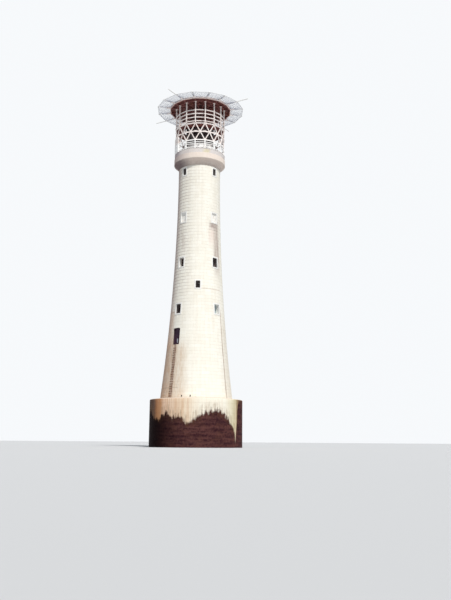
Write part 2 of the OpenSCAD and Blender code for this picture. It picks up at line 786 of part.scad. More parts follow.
// Each light stands on the sleeve of an arm
module deck_lights() color("white") at_corners(all_bays)
    translate([0, -sleeve_root_r - 2 * light_r, arm_z + sleeve_w / 2 + seat_gap])
        cylinder(r = light_r, h = light_h);

// Safety net

module net_sleeves() color("white") at_corners(all_bays)
    translate([-sleeve_w / 2, -sleeve_end_r, arm_z - sleeve_w / 2])
        cube([sleeve_w, sleeve_l, sleeve_w]);

// A rod with its root at the sleeve, thicker from the rim cable outwards
tip_root_r = short_arm_r - tip_l;
module net_arm(reach) {
    translate([0, -sleeve_end_r - seat_gap, arm_z]) rotate([90, 0, 0])
        cylinder(r = arm_rod_r, h = reach - sleeve_end_r - seat_gap);
    translate([0, -tip_root_r, arm_z]) rotate([90, 0, 0]) cylinder(r = tip_r, h = reach - tip_root_r);
}

// Four of the arms are long ones
module net_arms() color("lightsteelblue") for (i = all_bays) at_corners([i])
    net_arm(i % (bays / 4) == 0 ? long_arm_r : short_arm_r);

rim_at_r = short_arm_r - 2 * rim_r;
module net_rim() color("gray") at_bays(all_bays) {
    half = rim_at_r * sin(bay_angle / 2) - (tip_r + seat_gap) / cos(bay_angle / 2)
        - rim_r * tan(bay_angle / 2);
    translate([-half, -rim_at_r * cos(bay_angle / 2), arm_z]) rotate([0, 90, 0])
        cylinder(r = rim_r, h = 2 * half);
}

// A net panel hangs between two arms, from the fascia to the rim cable
module net_panels() color("dimgray") at_bays(all_bays) {
    side = sleeve_w / 2 + seat_gap;
    near_y = plate_y + fascia_t + 2 * seat_gap;
    far_y = rim_at_r * cos(bay_angle / 2) - rim_r - seat_gap;
    near_x = near_y * tan(bay_angle / 2) - side / cos(bay_angle / 2);
    far_x = far_y * tan(bay_angle / 2) - side / cos(bay_angle / 2);
    translate([0, 0, arm_z - net_t / 2]) linear_extrude(height = net_t)
        polygon([[-near_x, -near_y], [near_x, -near_y], [far_x, -far_y], [-far_x, -far_y]]);
}

base_drum();
base_top_course();
tower_foot();
ladder_rungs();
entrance_wall_left();
entrance_wall_right();
entrance_wall_back();
entrance_lintel();
door_frame();
door_leaf_left();
door_leaf_right();
second_storey_wall();
third_storey_wall();
fourth_storey_wall();
fifth_storey_wall();
top_storey_wall();
storey_floors();
window_surrounds();
window_frames();
window_glass();
window_shutters();
gallery_cornice();
gallery_floor();
gallery_kerb();
gallery_rails();
gallery_cabinet();
lantern_murette();
lantern_frame();
lantern_glass();
lantern_roof();
lantern_vent();
optic_pedestal();
optic_lens();
cage_posts();
cage_lattice();
cage_louvres();
cage_walk();
deck_frame();
deck_plate();
deck_fascia();
deck_lights();
net_sleeves();
net_arms();
net_rim();
net_panels();
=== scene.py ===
# %% [markdown]
# # A granite lighthouse with a helicopter deck
# This notebook dresses a model of a tall lighthouse. The construction comes ready from the packed
# frame: walls, floors, doors, lantern, cage, deck and net arms. Blender adds what a maker would add
# by hand afterwards: the face of every stone, painted trims, bolts, glazing bars, the knotted net,
# and finishes with grain, joints, stains and rust. Everything is in metres.

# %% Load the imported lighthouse
import json
import math

import bpy
import numpy as np
from mathutils import Matrix, Vector


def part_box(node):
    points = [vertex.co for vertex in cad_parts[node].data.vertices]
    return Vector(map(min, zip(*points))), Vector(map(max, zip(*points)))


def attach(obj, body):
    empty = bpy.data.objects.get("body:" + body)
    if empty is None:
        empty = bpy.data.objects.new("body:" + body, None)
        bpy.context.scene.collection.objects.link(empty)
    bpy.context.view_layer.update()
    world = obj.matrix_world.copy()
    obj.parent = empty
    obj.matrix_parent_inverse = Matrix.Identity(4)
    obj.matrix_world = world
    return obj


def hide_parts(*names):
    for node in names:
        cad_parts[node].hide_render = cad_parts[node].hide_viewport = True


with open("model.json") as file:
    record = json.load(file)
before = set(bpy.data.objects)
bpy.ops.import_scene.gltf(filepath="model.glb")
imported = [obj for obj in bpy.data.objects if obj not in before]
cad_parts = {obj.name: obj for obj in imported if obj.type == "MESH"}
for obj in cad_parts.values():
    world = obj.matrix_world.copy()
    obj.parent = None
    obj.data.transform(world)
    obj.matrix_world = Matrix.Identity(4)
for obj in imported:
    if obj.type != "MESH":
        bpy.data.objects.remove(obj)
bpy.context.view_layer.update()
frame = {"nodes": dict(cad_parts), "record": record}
bpy.ops.object.select_all(action="DESELECT")
nodes = frame["nodes"]

# %% [markdown]
# ## The camera
# The camera stands low and far away, turned 45 degrees to the right of the doorway. Its distance,
# tilt and lens were solved from the outlines of the base, the tower, the gallery and the deck.
# The frame is upright, so the sensor's 36 mm lie along the picture's height.

# %% Place the camera
PHOTO_SIDE = 45  # degrees from the doorway towards +X
CAMERA_AWAY, CAMERA_UP = 49.687, 0.4
CAMERA_TURNS = (2.236, 11.035, 0.411)  # yaw, tilt and roll in degrees
LENS_MM, SENSOR_MM, SEES_TO = 43.542, 36, 1000

def from_front(degrees):
    """Unit vector that points away from the axis, at an angle from the doorway towards +X."""
    turn = math.radians(degrees)
    return Vector((math.sin(turn), -math.cos(turn), 0))

yaw, tilt, roll = (math.radians(turn) for turn in CAMERA_TURNS)
ahead = Vector((math.sin(yaw) * math.cos(tilt), math.cos(yaw) * math.cos(tilt), math.sin(tilt)))
right = Vector((math.cos(yaw), -math.sin(yaw), 0))
up = right.cross(ahead)
side = math.cos(roll) * right + math.sin(roll) * up
top = math.cos(roll) * up - math.sin(roll) * right
axes = Matrix((side, top, -ahead)).transposed()
aim = Matrix.Rotation(math.radians(PHOTO_SIDE), 3, "Z") @ axes
bpy.ops.object.camera_add()
camera = bpy.context.object
camera.name = "camera"
camera.data.sensor_width = SENSOR_MM
camera.data.lens = LENS_MM
camera.data.clip_end = SEES_TO
place = from_front(PHOTO_SIDE) * CAMERA_AWAY + Vector((0, 0, CAMERA_UP))
camera.matrix_world = Matrix.Translation(place) @ aim.to_4x4()
bpy.context.scene.camera = camera
print("camera at", [round(v, 2) for v in place])

# %% [markdown]
# ## How nodes are added
# The room and each finish are made of nodes. Short helpers add a node and link it in one line, so
# that a finish reads from top to bottom like a recipe. All patterns read Object coordinates: every
# piece has its object at the origin, so these are the metres of the lighthouse itself.

# %% Helpers that add and reckon
def new_tree(owner, output="OutputMaterial"):
    """Empty the nodes of a material or of the world, and add an output."""
    owner.use_nodes = True
    tree = owner.node_tree
    tree.nodes.clear()
    return tree, tree.nodes.new("ShaderNode" + output)

def add(tree, kind, inputs=None, **settings):
    """Add a node, set its settings, and set or link its inputs."""
    made = tree.nodes.new("ShaderNode" + kind)
    for name, value in settings.items():
        setattr(made, name, value)
    for name, value in (inputs or {}).items():
        if isinstance(value, bpy.types.NodeSocket):
            tree.links.new(value, made.inputs[name])
        else:
            made.inputs[name].default_value = value
    return made

def sums(tree, operation, *values):
    """One Math node."""
    return add(tree, "Math", dict(enumerate(values)), operation=operation).outputs[0]

def plus(tree, one, other):
    """The sum of two values."""
    return sums(tree, "ADD", one, other)

def minus(tree, whole, part):
    """The difference of two values."""
    return sums(tree, "SUBTRACT", whole, part)

def times(tree, *values):
    """Multiply values or masks, one after another."""
    product = values[0]
    for value in values[1:]:
        product = sums(tree, "MULTIPLY", product, value)
    return product

def varied(tree, start, mask, change):
    """A start value that a mask changes."""
    return plus(tree, start, times(tree, mask, change))

def ramped(tree, value, low, high, to_low=0.0, to_high=1.0):
    """A smooth step from low to high."""
    return add(tree, "MapRange", {"Value": value, "From Min": low, "From Max": high,
                                  "To Min": to_low, "To Max": to_high},
               interpolation_type="SMOOTHSTEP").outputs[0]

def between(tree, value, low, high, soft):
    """1 between two values and 0 outside, with soft edges."""
    return times(tree, ramped(tree, value, low - soft, low + soft),
                 ramped(tree, value, high - soft, high + soft, 1, 0))

# %% Helpers for places, noise and colours
def split(tree, position):
    """The x, y and z of a position."""
    return add(tree, "SeparateXYZ", {0: position}).outputs

def facing_of(tree, xyz):
    """The side on which a place lies: degrees from the doorway towards +X."""
    return sums(tree, "DEGREES", sums(tree, "ARCTAN2", xyz[0], times(tree, xyz[1], -1)))

def reach_of(tree, position):
    """Distance from the tower's axis."""
    xyz = split(tree, position)
    return sums(tree, "SQRT", plus(tree, *(sums(tree, "POWER", xyz[i], 2.0) for i in (0, 1))))

def squeezed(tree, xyz, width, length):
    """A position in widths and lengths, so that a noise on it gets marks of that shape."""
    shares = [sums(tree, "DIVIDE", xyz[i], size) for i, size in enumerate((width, width, length))]
    return add(tree, "CombineXYZ", dict(enumerate(shares))).outputs[0]

def noise(tree, position, scale, detail, roughness=0.5):
    """A cloudy pattern between 0 and 1."""
    return add(tree, "TexNoise", {"Vector": position, "Scale": scale, "Detail": detail,
                                  "Roughness": roughness}).outputs[0]

def blended(tree, share, under, over):
    """Lay one colour over another. Colours are sockets or three numbers."""
    made = add(tree, "Mix", data_type="RGBA")
    for socket, value in ((made.inputs[0], share), (made.inputs[6], under), (made.inputs[7], over)):
        if isinstance(value, bpy.types.NodeSocket):
            tree.links.new(value, socket)
        else:
            socket.default_value = value if isinstance(value, (int, float)) else (*value, 1)
    return made.outputs[2]

# %% [markdown]
# ## Floor and light
# A plain pale floor carries the lighthouse. The light is that of a large studio: a pale room all
# round and one broad lamp, 52 degrees up and a little to the right of the camera, so that colours
# render about as written. The room shows white to the camera, in reflections and through glass,
# but lights the stone at a lower level.

# %% Make the floor, the room and the lamp
bpy.context.scene.view_settings.view_transform = "Standard"
FLOOR_R = 400
FLOOR_TONE, ROOM_TONE = (0.60, 0.61, 0.63, 1), (0.86, 0.93, 1.0, 1)
BACKDROP_TONE = (0.93, 0.95, 0.97, 1)
ROOM_LIGHT, LAMP_LIGHT, LAMP_BROAD = 0.30, 3.4, 5
LAMP_SIDE, LAMP_UP = 65, 52  # degrees from the doorway, and above the horizon

bpy.ops.mesh.primitive_circle_add(vertices=96, radius=FLOOR_R, fill_type="NGON")
floor = bpy.context.object
floor.name = "studio_floor"
floor.data.materials.append(bpy.data.materials.new("studio_floor"))
tree, out = new_tree(floor.data.materials[0])
paint = add(tree, "BsdfPrincipled", {"Base Color": FLOOR_TONE, "Roughness": 0.9})
tree.links.new(paint.outputs[0], out.inputs[0])

world = bpy.data.worlds.new("studio_room")
bpy.context.scene.world = world
tree, out = new_tree(world, "OutputWorld")
rays = add(tree, "LightPath").outputs
seen = sums(tree, "MAXIMUM", rays["Is Camera Ray"], rays["Is Glossy Ray"])
seen = sums(tree, "MAXIMUM", seen, rays["Is Transmission Ray"])
room = add(tree, "Background", {"Color": ROOM_TONE, "Strength": ROOM_LIGHT})
backdrop = add(tree, "Background", {"Color": BACKDROP_TONE, "Strength": 1.0})
choose = add(tree, "MixShader", {0: seen, 1: room.outputs[0], 2: backdrop.outputs[0]})
tree.links.new(choose.outputs[0], out.inputs[0])

bpy.ops.object.light_add(type="SUN", location=(30, 0, 40))
lamp = bpy.context.object
lamp.name = "broad_lamp"
lamp.data.energy = LAMP_LIGHT
lamp.data.angle = math.radians(LAMP_BROAD)
lamp.data.color = (1.0, 0.98, 0.94)
rise = math.radians(LAMP_UP)
towards = -(from_front(LAMP_SIDE) * math.cos(rise) + Vector((0, 0, math.sin(rise))))
lamp.rotation_euler = towards.to_track_quat("-Z", "Y").to_euler()
bpy.ops.object.select_all(action="DESELECT")
print("floor, room and lamp made")

# %% [markdown]
# ## Shared effects
# Five effects come back in many finishes, so each is a node group that is built once.
# *Courses* gives every stone of a round wall its own tone and finds the joints between them.
# *Grain* is the speckle of stone or cast metal. *Streaks* run down a wall as rain leaves them.
# *Sector* finds one side of the tower. *Blotches* are islands of rust or damp.

# %% The effect of stone courses
def effect(name, takes, gives):
    """Start a node group with named inputs and outputs."""
    tree = bpy.data.node_groups.new(name, "ShaderNodeTree")
    for label, default in takes.items():
        kind = "NodeSocketVector" if default is None else "NodeSocketFloat"
        socket = tree.interface.new_socket(name=label, in_out="INPUT", socket_type=kind)
        if default is not None:
            socket.default_value = default
    for label in gives:
        tree.interface.new_socket(name=label, in_out="OUTPUT", socket_type="NodeSocketFloat")
    return tree, tree.nodes.new("NodeGroupInput").outputs, tree.nodes.new("NodeGroupOutput").inputs

def use(tree, group, **values):
    """Place a node group in a material. Underscores stand for the spaces in its inputs' names."""
    made = tree.nodes.new("ShaderNodeGroup")
    made.node_tree = group
    for label, value in values.items():
        socket = made.inputs[label.replace("_", " ")]
        if isinstance(value, bpy.types.NodeSocket):
            tree.links.new(value, socket)
        else:
            socket.default_value = value
    return made.outputs

courses, given, result = effect("stone_courses", {
    "Position": None, "First Bed": 0.0, "Course Height": 0.22, "Stones Round": 24.0},
    ["Tone", "Joint"])
tree = courses
BED_SOFT, HEAD_SOFT, HEAD_SHARE = 0.09, 0.045, 0.4  # head joints, between neighbours, are fainter
xyz = split(tree, given["Position"])
turn = sums(tree, "DIVIDE", sums(tree, "ARCTAN2", xyz[1], xyz[0]), 2 * math.pi)
rise = sums(tree, "DIVIDE", minus(tree, xyz[2], given["First Bed"]), given["Course Height"])
course = sums(tree, "FLOOR", rise)
half = times(tree, sums(tree, "PINGPONG", course, 1.0), 0.5)
along = plus(tree, times(tree, turn, given["Stones Round"]), half)
stone = add(tree, "CombineXYZ", {0: sums(tree, "FLOOR", along), 1: course, 2: 0.37}).outputs[0]
tone = add(tree, "TexWhiteNoise", {"Vector": stone}, noise_dimensions="3D").outputs["Value"]
near_bed = ramped(tree, sums(tree, "PINGPONG", rise, 0.5), 0.0, BED_SOFT, 1, 0)
near_head = ramped(tree, sums(tree, "PINGPONG", along, 0.5), 0.0, HEAD_SOFT, 1, 0)
tree.links.new(tone, result["Tone"])
tree.links.new(sums(tree, "MAXIMUM", near_bed, times(tree, near_head, HEAD_SHARE)), result["Joint"])
print("effect:", courses.name)

# %% The effects of grain, streaks, sectors and blotches
grain, given, result = effect("grain", {"Position": None, "Scale": 60.0}, ["Speckle", "Height"])
tree = grain
fine = noise(tree, given["Position"], given["Scale"], 3.0, 0.7)
dots = add(tree, "TexVoronoi", {"Vector": given["Position"],
                                "Scale": times(tree, given["Scale"], 2.2)}).outputs["Distance"]
tree.links.new(ramped(tree, fine, 0.3, 0.7), result["Speckle"])
tree.links.new(plus(tree, times(tree, fine, 0.6), times(tree, dots, 0.4)), result["Height"])

streaks, given, result = effect("streaks", {"Position": None, "Width": 0.12, "Length": 2.5},
                                ["Mask"])
tree = streaks
run_shape = squeezed(tree, split(tree, given["Position"]), given["Width"], given["Length"])
tree.links.new(ramped(tree, noise(tree, run_shape, 1.0, 4.0, 0.6), 0.40, 0.68), result["Mask"])

sector, given, result = effect("sector", {"Position": None, "Facing": 0.0, "Half Width": 10.0,
                                          "Softness": 5.0}, ["Mask"])
tree = sector
off = minus(tree, facing_of(tree, split(tree, given["Position"])), given["Facing"])
off = sums(tree, "ABSOLUTE", sums(tree, "WRAP", off, 180.0, -180.0))
inner = minus(tree, given["Half Width"], given["Softness"])
outer = plus(tree, given["Half Width"], given["Softness"])
tree.links.new(ramped(tree, off, inner, outer, 1, 0), result["Mask"])

blotches, given, result = effect("blotches", {"Position": None, "Scale": 3.0, "Cover": 0.3},
                                 ["Mask"])
tree = blotches
cloud = noise(tree, given["Position"], given["Scale"], 6.0, 0.65)
limit = minus(tree, 0.72, times(tree, given["Cover"], 0.45))
tree.links.new(ramped(tree, cloud, limit, plus(tree, limit, 0.08)), result["Mask"])
print("effects:", [g.name for g in bpy.data.node_groups])

# %% [markdown]
# ## The granite of the tower
# The tower is of pale, warm granite in courses of even height, and its outline is one long arc that
# ends in a straight top. The measures come from the construction. Seen closely, the stones differ a
# little in tone, and weather has left marks on them. Some marks on the left side are painted shade,
# with a little damp stain. Each mark is a mask by angle and height, broken up by noise, so none has
# a hard edge.

# %% Measure the tower
TOWER_COURSES, STONES, STRAIGHT_TOP = 73, 24, 0.5  # courses up, stones round, straight part
foot_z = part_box("tower_foot")[0].z
entrance_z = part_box("door_frame")[0].z
cornice_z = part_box("gallery_cornice")[0].z
course_h = (cornice_z - foot_z) / TOWER_COURSES
foot_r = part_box("tower_foot")[1].x
top_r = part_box("top_storey_wall")[1].x
straight_z = cornice_z - STRAIGHT_TOP
arc_in, arc_rise = foot_r - top_r, straight_z - foot_z
arc_r = (arc_rise ** 2 + arc_in ** 2) / (2 * arc_in)

def face_radius(height):
    """The tower's radius: one arc from the base up to the straight top."""
    if height >= straight_z:
        return top_r
    return top_r + arc_r - math.sqrt(arc_r ** 2 - (straight_z - height) ** 2)

print(TOWER_COURSES, "courses of", round(course_h * 1000, 1), "mm; the wall's arc has a radius of",
      round(arc_r, 1), "m; straight top", round(top_r, 3), "m")

# %% Helpers for a finish and its marks
finishes = {}

def new_finish(name, roughness=0.8, metallic=0.0):
    """A material with its Principled shader, and the Object position that its patterns read."""
    material = bpy.data.materials.new(name)
    tree, out = new_tree(material)
    shader = add(tree, "BsdfPrincipled", {"Roughness": roughness, "Metallic": metallic})
    tree.links.new(shader.outputs[0], out.inputs[0])
    position = tree.nodes.new("ShaderNodeTexCoord").outputs["Object"]
    finishes[name] = material
    return tree, shader, position

def coloured(tree, shader, colour):
    """Give the shader its colour."""
    tree.links.new(colour, shader.inputs["Base Color"])

def raised(tree, shader, height, distance, strength=1.0):
    """Give the shader a relief from a height between 0 and 1."""
    bump = add(tree, "Bump", {"Height": height, "Distance": distance, "Strength": strength})
    tree.links.new(bump.outputs[0], shader.inputs["Normal"])

def on_side(tree, position, facing, half, soft):
    """A mask for one side of the tower."""
    return use(tree, sector, Position=position, Facing=facing, Half_Width=half, Softness=soft)["Mask"]

def mark(tree, colour, position, stain_or_shade, share, facing, half, soft, low, high, fade, broken=None):
    """Lay a stain, or painted shade, on one side of a wall between two heights."""
    height = split(tree, position)[2]
    mask = on_side(tree, position, facing, half, soft)
    mask = times(tree, mask, between(tree, height, low, high, fade), share)
    if broken is not None:
        mask = times(tree, mask, broken)
    return blended(tree, mask, colour, stain_or_shade)

def marked(tree, colour, position, *marks):
    """Lay several marks over a colour. Each is what mark takes from its colour on."""
    for one in marks:
        colour = mark(tree, colour, position, *one)
    return colour

# %% [markdown]
# The sides of the openings lie in deep shade and are stained, so they get a dark wash: painted
# shade, with some stain. It starts a little behind the wall's face. Two windows are left without it,
# as their sides look lit in the photograph: the front one of the row at 12.5 m, and the one with pale
# blue panes on the right at 9.2 m.

# %% A mask for the sides of the openings
SHADE_FROM, SHADE_FULL = 0.015, 0.09  # depth behind the face
LIT_WINDOWS = ((0.0, 12.0, 12.95), (90.0, 8.7, 9.7))  # facing, and from which height to which

def in_shade(tree, position):
    """Painted shade: 1 on the sides of the openings, behind the tower's face, but 0 at the lit
    windows.
    """
    height = split(tree, position)[2]
    rise = sums(tree, "MAXIMUM", minus(tree, straight_z, height), 0.0)
    arc = sums(tree, "SQRT", minus(tree, arc_r ** 2, sums(tree, "POWER", rise, 2.0)))
    depth = minus(tree, minus(tree, top_r + arc_r, arc), reach_of(tree, position))
    lit_parts = []
    for facing, low, high in LIT_WINDOWS:
        side = on_side(tree, position, facing, 14.0, 1.0)
        lit_parts.append(times(tree, side, between(tree, height, low, high, 0.02)))
    kept = sums(tree, "MAXIMUM", *lit_parts)
    return times(tree, ramped(tree, depth, SHADE_FROM, SHADE_FULL), minus(tree, 1.0, kept))

# %% [markdown]
# Now the granite itself: two tones of stone, speckle, faint runs, and joints a little darker. Over
# that come the marks: a brown edge on the left side, which is painted shade with some stain, a tan
# zone and a brown run below the entrance, dark runs and patches under some windows, stained bed
# joints, and in the gallery's cove grime with painted shade, darkest on the left.

# %% Make the tower's granite
tree, shader, position = new_finish("granite", 0.85)
cut = use(tree, courses, Position=position, First_Bed=foot_z, Course_Height=course_h,
          Stones_Round=STONES)
colour = blended(tree, cut["Tone"], (0.89, 0.86, 0.77), (0.94, 0.92, 0.845))
speck = use(tree, grain, Position=position, Scale=55.0)
colour = blended(tree, times(tree, speck["Speckle"], 0.22), colour, (0.70, 0.64, 0.56))
runs = use(tree, streaks, Position=position, Width=0.16, Length=3.2)["Mask"]
fine_runs = use(tree, streaks, Position=position, Width=0.05, Length=1.4)["Mask"]
clouds = use(tree, blotches, Position=position, Scale=1.3, Cover=0.5)["Mask"]
colour = blended(tree, times(tree, runs, 0.22), colour, (0.72, 0.64, 0.54))
colour = blended(tree, times(tree, cut["Joint"], 0.16), colour, (0.52, 0.45, 0.39))
uneven = varied(tree, 0.45, fine_runs, 0.55)
colour = marked(
    tree, colour, position,
    # The brown edge, painted shade with some stain: three washes from the foot to the gallery.
    ((0.46, 0.33, 0.29), 0.60, -42, 24, 18, 3.0, 21, 0.8, uneven),
    ((0.52, 0.38, 0.35), 0.60, -42, 24, 17, 3.0, 20.5, 0.8, uneven),
    ((0.26, 0.18, 0.18), 0.42, -50, 20, 17, 3.0, 20.5, 0.8, uneven),
    # The tan zone below the entrance, and the brown run from its sill.
    ((0.53, 0.29, 0.14), 0.85, -16, 20, 9, 2.6, 7.1, 0.6, uneven),
    ((0.58, 0.38, 0.22), 0.60, 12, 13, 9, 2.6, 6.8, 0.7, uneven),
    ((0.20, 0.10, 0.07), 0.90, 0.5, 3.0, 1.8, 2.8, 6.9, 0.25, uneven),
    # Higher up the brown edge: a greyer wash of painted shade, and dark joints that reach over
    # to the front.
    ((0.26, 0.19, 0.21), 0.36, -48, 18, 15, 13.0, 20.0, 2.5, uneven),
    ((0.27, 0.20, 0.18), 0.90, -12, 34, 20, 10.0, 19.4, 1.5, cut["Joint"]),
    # One stained bed joint at the foot, and a tan patch beside the entrance.
    ((0.34, 0.24, 0.17), 0.75, -14, 28, 6, 3.83, 3.88, 0.02, uneven),
    ((0.66, 0.42, 0.27), 0.60, -26, 16, 8, 6.6, 9.0, 0.2, uneven),
    # Under the shuttered window on the right: a run, dark joints, a dark patch and a pink wash.
    ((0.30, 0.20, 0.17), 0.90, 97, 10, 5, 11.9, 15.3, 0.90, uneven),
    ((0.16, 0.10, 0.10), 0.60, 86, 15, 5, 14.6, 15.34, 0.14, cut["Joint"]),
    ((0.20, 0.12, 0.11), 0.97, 88, 13, 5, 14.90, 15.32, 0.24, uneven),
    ((0.74, 0.54, 0.48), 0.55, 80, 9, 6, 13.7, 14.9, 0.50, uneven),
    # Under the shuttered window over the entrance, two stained beds, and joints below the cove.
    ((0.42, 0.34, 0.30), 0.35, 0, 9, 5, 13.2, 15.4, 0.4, runs),
    ((0.44, 0.31, 0.23), 0.50, 78, 24, 3, 10.52, 10.60, 0.03, uneven),
    ((0.44, 0.31, 0.23), 0.50, -22, 15, 3, 8.97, 9.05, 0.03),
    ((0.50, 0.44, 0.40), 0.45, 15, 40, 8, 18.1, 19.3, 0.25, cut["Joint"]),
    # A thin brown run on the right, and the tan zone beside it.
    ((0.28, 0.16, 0.10), 0.90, 100.5, 1.3, 0.9, 3.1, 9.2, 0.3, uneven),
    ((0.58, 0.46, 0.33), 0.35, 114, 9, 7, 2.9, 8.6, 0.9, uneven),
)
height = split(tree, position)[2]
cove = between(tree, height, cornice_z - 0.04, cornice_z + 0.395, 0.05)
# The left side, away from the lamp, where shade is painted in the cove and on the band.
shaded_left = on_side(tree, position, -30.0, 38.0, 22.0)
# The cove's wash is partly grime and partly painted shade under the band.
cove_grime_and_shade = times(tree, cove, varied(tree, 0.32, fine_runs, 0.26))
colour = blended(tree, cove_grime_and_shade, colour, (0.44, 0.23, 0.19))
# Painted shade: the cove's left side, nearly black.
colour = blended(tree, times(tree, cove, shaded_left, 0.75), colour, (0.070, 0.045, 0.060))
band = between(tree, height, cornice_z + 0.41, cornice_z + 0.80, 0.03)
colour = blended(tree, times(tree, band, 0.60), colour, (0.80, 0.65, 0.58))
# Painted shade on the band's left side.
colour = blended(tree, times(tree, band, shaded_left, 0.45), colour, (0.36, 0.27, 0.28))
ledge = times(tree, between(tree, height, foot_z - 0.02, foot_z + 0.10, 0.06), 0.5)
colour = blended(tree, ledge, colour, (0.40, 0.33, 0.26))
# Painted shade, with some stain, on the sides of the openings.
colour = blended(tree, times(tree, in_shade(tree, position), 0.85), colour, (0.075, 0.045, 0.045))
coloured(tree, shader, colour)
relief = plus(tree, times(tree, speck["Height"], 0.6), times(tree, clouds, 0.25))
raised(tree, shader, relief, 0.006, 0.7)
print("granite, with", len(tree.nodes), "nodes")

# %% [markdown]
# ## The wet granite of the base
# The drum under the tower is of the same stone, but stained in two zones. Below a wavy line it is
# nearly black with growth, with a few pale shells. Above it, the colour changes round the drum: an
# orange edge, tan and pinkish streaks, a cream face, then a greenish strip and a dark brown flank.
# A Float Curve draws the wavy line by angle. Angles are counted from the picture's middle, from
# -180 to 180 degrees, and a curve or a ramp takes them as a share between 0 and 1.

# %% Draw the wavy line of the growth
LINE_FULL, LINE_BEHIND = 3.2, 2.0  # heights: at the curve's value 1, and at the drum's back
WAVY_LINE = ((-160, 2.2), (-130, 1.9), (-110, 2.2), (-90, 2.1), (-74, 2.25), (-66, 2.12),
             (-52, 1.86), (-45, 2.04), (-36, 2.18), (-29, 1.92), (-22, 2.00), (-15, 1.68),
             (-9, 1.60), (-2, 1.86), (7, 2.14), (16, 2.32), (24, 2.36), (33, 2.18), (39, 1.94),
             (46, 1.60), (53, 1.05), (56, 0.95), (59, 2.1), (63, 2.95), (72, 3.1), (88, 3.0),
             (110, 2.1), (140, 1.8))

def spot_of(angle):
    """An angle's share of the full turn."""
    return (angle + 180) / 360

def share_round(tree, angle):
    """The same share, reckoned with nodes."""
    return sums(tree, "DIVIDE", plus(tree, angle, 180.0), 360.0)

tree, shader, position = new_finish("base_granite", 0.78)
xyz = split(tree, position)
around = sums(tree, "WRAP", minus(tree, facing_of(tree, xyz), PHOTO_SIDE), 180.0, -180.0)
line = tree.nodes.new("ShaderNodeFloatCurve")
curve = line.mapping.curves[0]
for angle, rise in WAVY_LINE:
    curve.points.new(spot_of(angle), rise / LINE_FULL)
for end in (0, -1):
    curve.points[end].location[1] = LINE_BEHIND / LINE_FULL
line.mapping.update()
tree.links.new(share_round(tree, around), line.inputs["Value"])
hanging = noise(tree, squeezed(tree, xyz, 0.20, 0.8), 1.0, 5.0, 0.65)
ragged = noise(tree, position, 4.0, 6.0)
wet_line = times(tree, line.outputs[0], LINE_FULL)
for unevenness, reach in ((hanging, 0.9), (ragged, 0.5)):
    wet_line = varied(tree, wet_line, minus(tree, unevenness, 0.5), reach)
above = minus(tree, xyz[2], wet_line)
print("wavy line of", len(curve.points), "points")

# %% [markdown]
# A Color Ramp names the colours round the drum, above the line. Runs and joints lie over them. The
# growth has colours of its own, and painted shade makes it darkest on the left. Where the two zones
# meet, the upper one gets a brown fringe and the lower one a dark crust.

# %% Make the base's granite
BASE_STONES, BASE_COURSE_H = 32, 0.3144
TONES = ((-180, (0.60, 0.48, 0.36)), (-130, (0.60, 0.47, 0.35)), (-100, (0.16, 0.09, 0.06)),
         (-74, (0.045, 0.022, 0.020)), (-61, (0.120, 0.055, 0.035)), (-54, (0.46, 0.19, 0.07)),
         (-47, (0.56, 0.27, 0.12)), (-41, (0.82, 0.56, 0.40)), (-16, (0.84, 0.68, 0.50)),
         (4, (0.93, 0.89, 0.77)), (36, (0.93, 0.90, 0.79)), (46, (0.80, 0.76, 0.58)),
         (54, (0.60, 0.54, 0.34)), (60, (0.30, 0.21, 0.11)), (66, (0.10, 0.042, 0.030)),
         (92, (0.12, 0.055, 0.04)), (130, (0.58, 0.46, 0.34)))
ramp = tree.nodes.new("ShaderNodeValToRGB")
stops = ramp.color_ramp.elements
for angle, tone in TONES[1:]:
    stops.new(spot_of(angle)).color = (*tone, 1)
for end in (0, -1):
    stops[end].color = (*TONES[0][1], 1)
wobble = noise(tree, position, 2.0, 5.0)
wobbled = varied(tree, around, minus(tree, wobble, 0.5), 5.0)
tree.links.new(share_round(tree, wobbled), ramp.inputs[0])

cut = use(tree, courses, Position=position, First_Bed=0.0, Course_Height=BASE_COURSE_H,
          Stones_Round=BASE_STONES)
speck = use(tree, grain, Position=position, Scale=45.0)
runs = use(tree, streaks, Position=position, Width=0.10, Length=2.2)["Mask"]
fine_runs = use(tree, streaks, Position=position, Width=0.045, Length=1.2)["Mask"]
blots = use(tree, blotches, Position=position, Scale=1.6, Cover=0.5)["Mask"]
tan_side = times(tree, ramped(tree, around, -48.0, -40.0), ramped(tree, around, -14.0, 2.0, 1, 0))
brown_runs = times(tree, runs, varied(tree, 0.14, tan_side, 0.40))
pale_runs = times(tree, fine_runs, varied(tree, 0.12, tan_side, 0.30))
pale = blended(tree, brown_runs, ramp.outputs[0], (0.62, 0.36, 0.20))
pale = blended(tree, pale_runs, pale, (0.93, 0.80, 0.66))
pale = blended(tree, times(tree, cut["Joint"], 0.10), pale, (0.40, 0.31, 0.24))

flat = {i: times(tree, xyz[i], size) for i, size in enumerate((0.7, 0.7, 5.0))}
tide = noise(tree, add(tree, "CombineXYZ", flat).outputs[0], 1.0, 5.0, 0.6)
weed = noise(tree, position, 7.0, 8.0, 0.75)
tide = plus(tree, times(tree, tide, 0.5), times(tree, weed, 0.5))
growth = blended(tree, ramped(tree, tide, 0.40, 0.60), (0.030, 0.009, 0.014), (0.105, 0.042, 0.038))
shells = add(tree, "TexVoronoi", {"Vector": position, "Scale": 26.0}).outputs["Distance"]
shells = times(tree, ramped(tree, shells, 0.10, 0.26, 1, 0), ramped(tree, weed, 0.50, 0.62), 0.4)
growth = blended(tree, shells, growth, (0.24, 0.17, 0.14))
growth = blended(tree, times(tree, blots, 0.35), growth, (0.110, 0.046, 0.034))
growth = blended(tree, times(tree, cut["Joint"], 0.22), growth, (0.15, 0.085, 0.080))
# Painted shade: the growth nearly black on the left.
shaded_left = times(tree, ramped(tree, around, -58.0, -8.0, 1, 0), ramped(tree, around, -170.0, -110.0))
growth = blended(tree, times(tree, shaded_left, 0.96), growth, (0.005, 0.0015, 0.002))

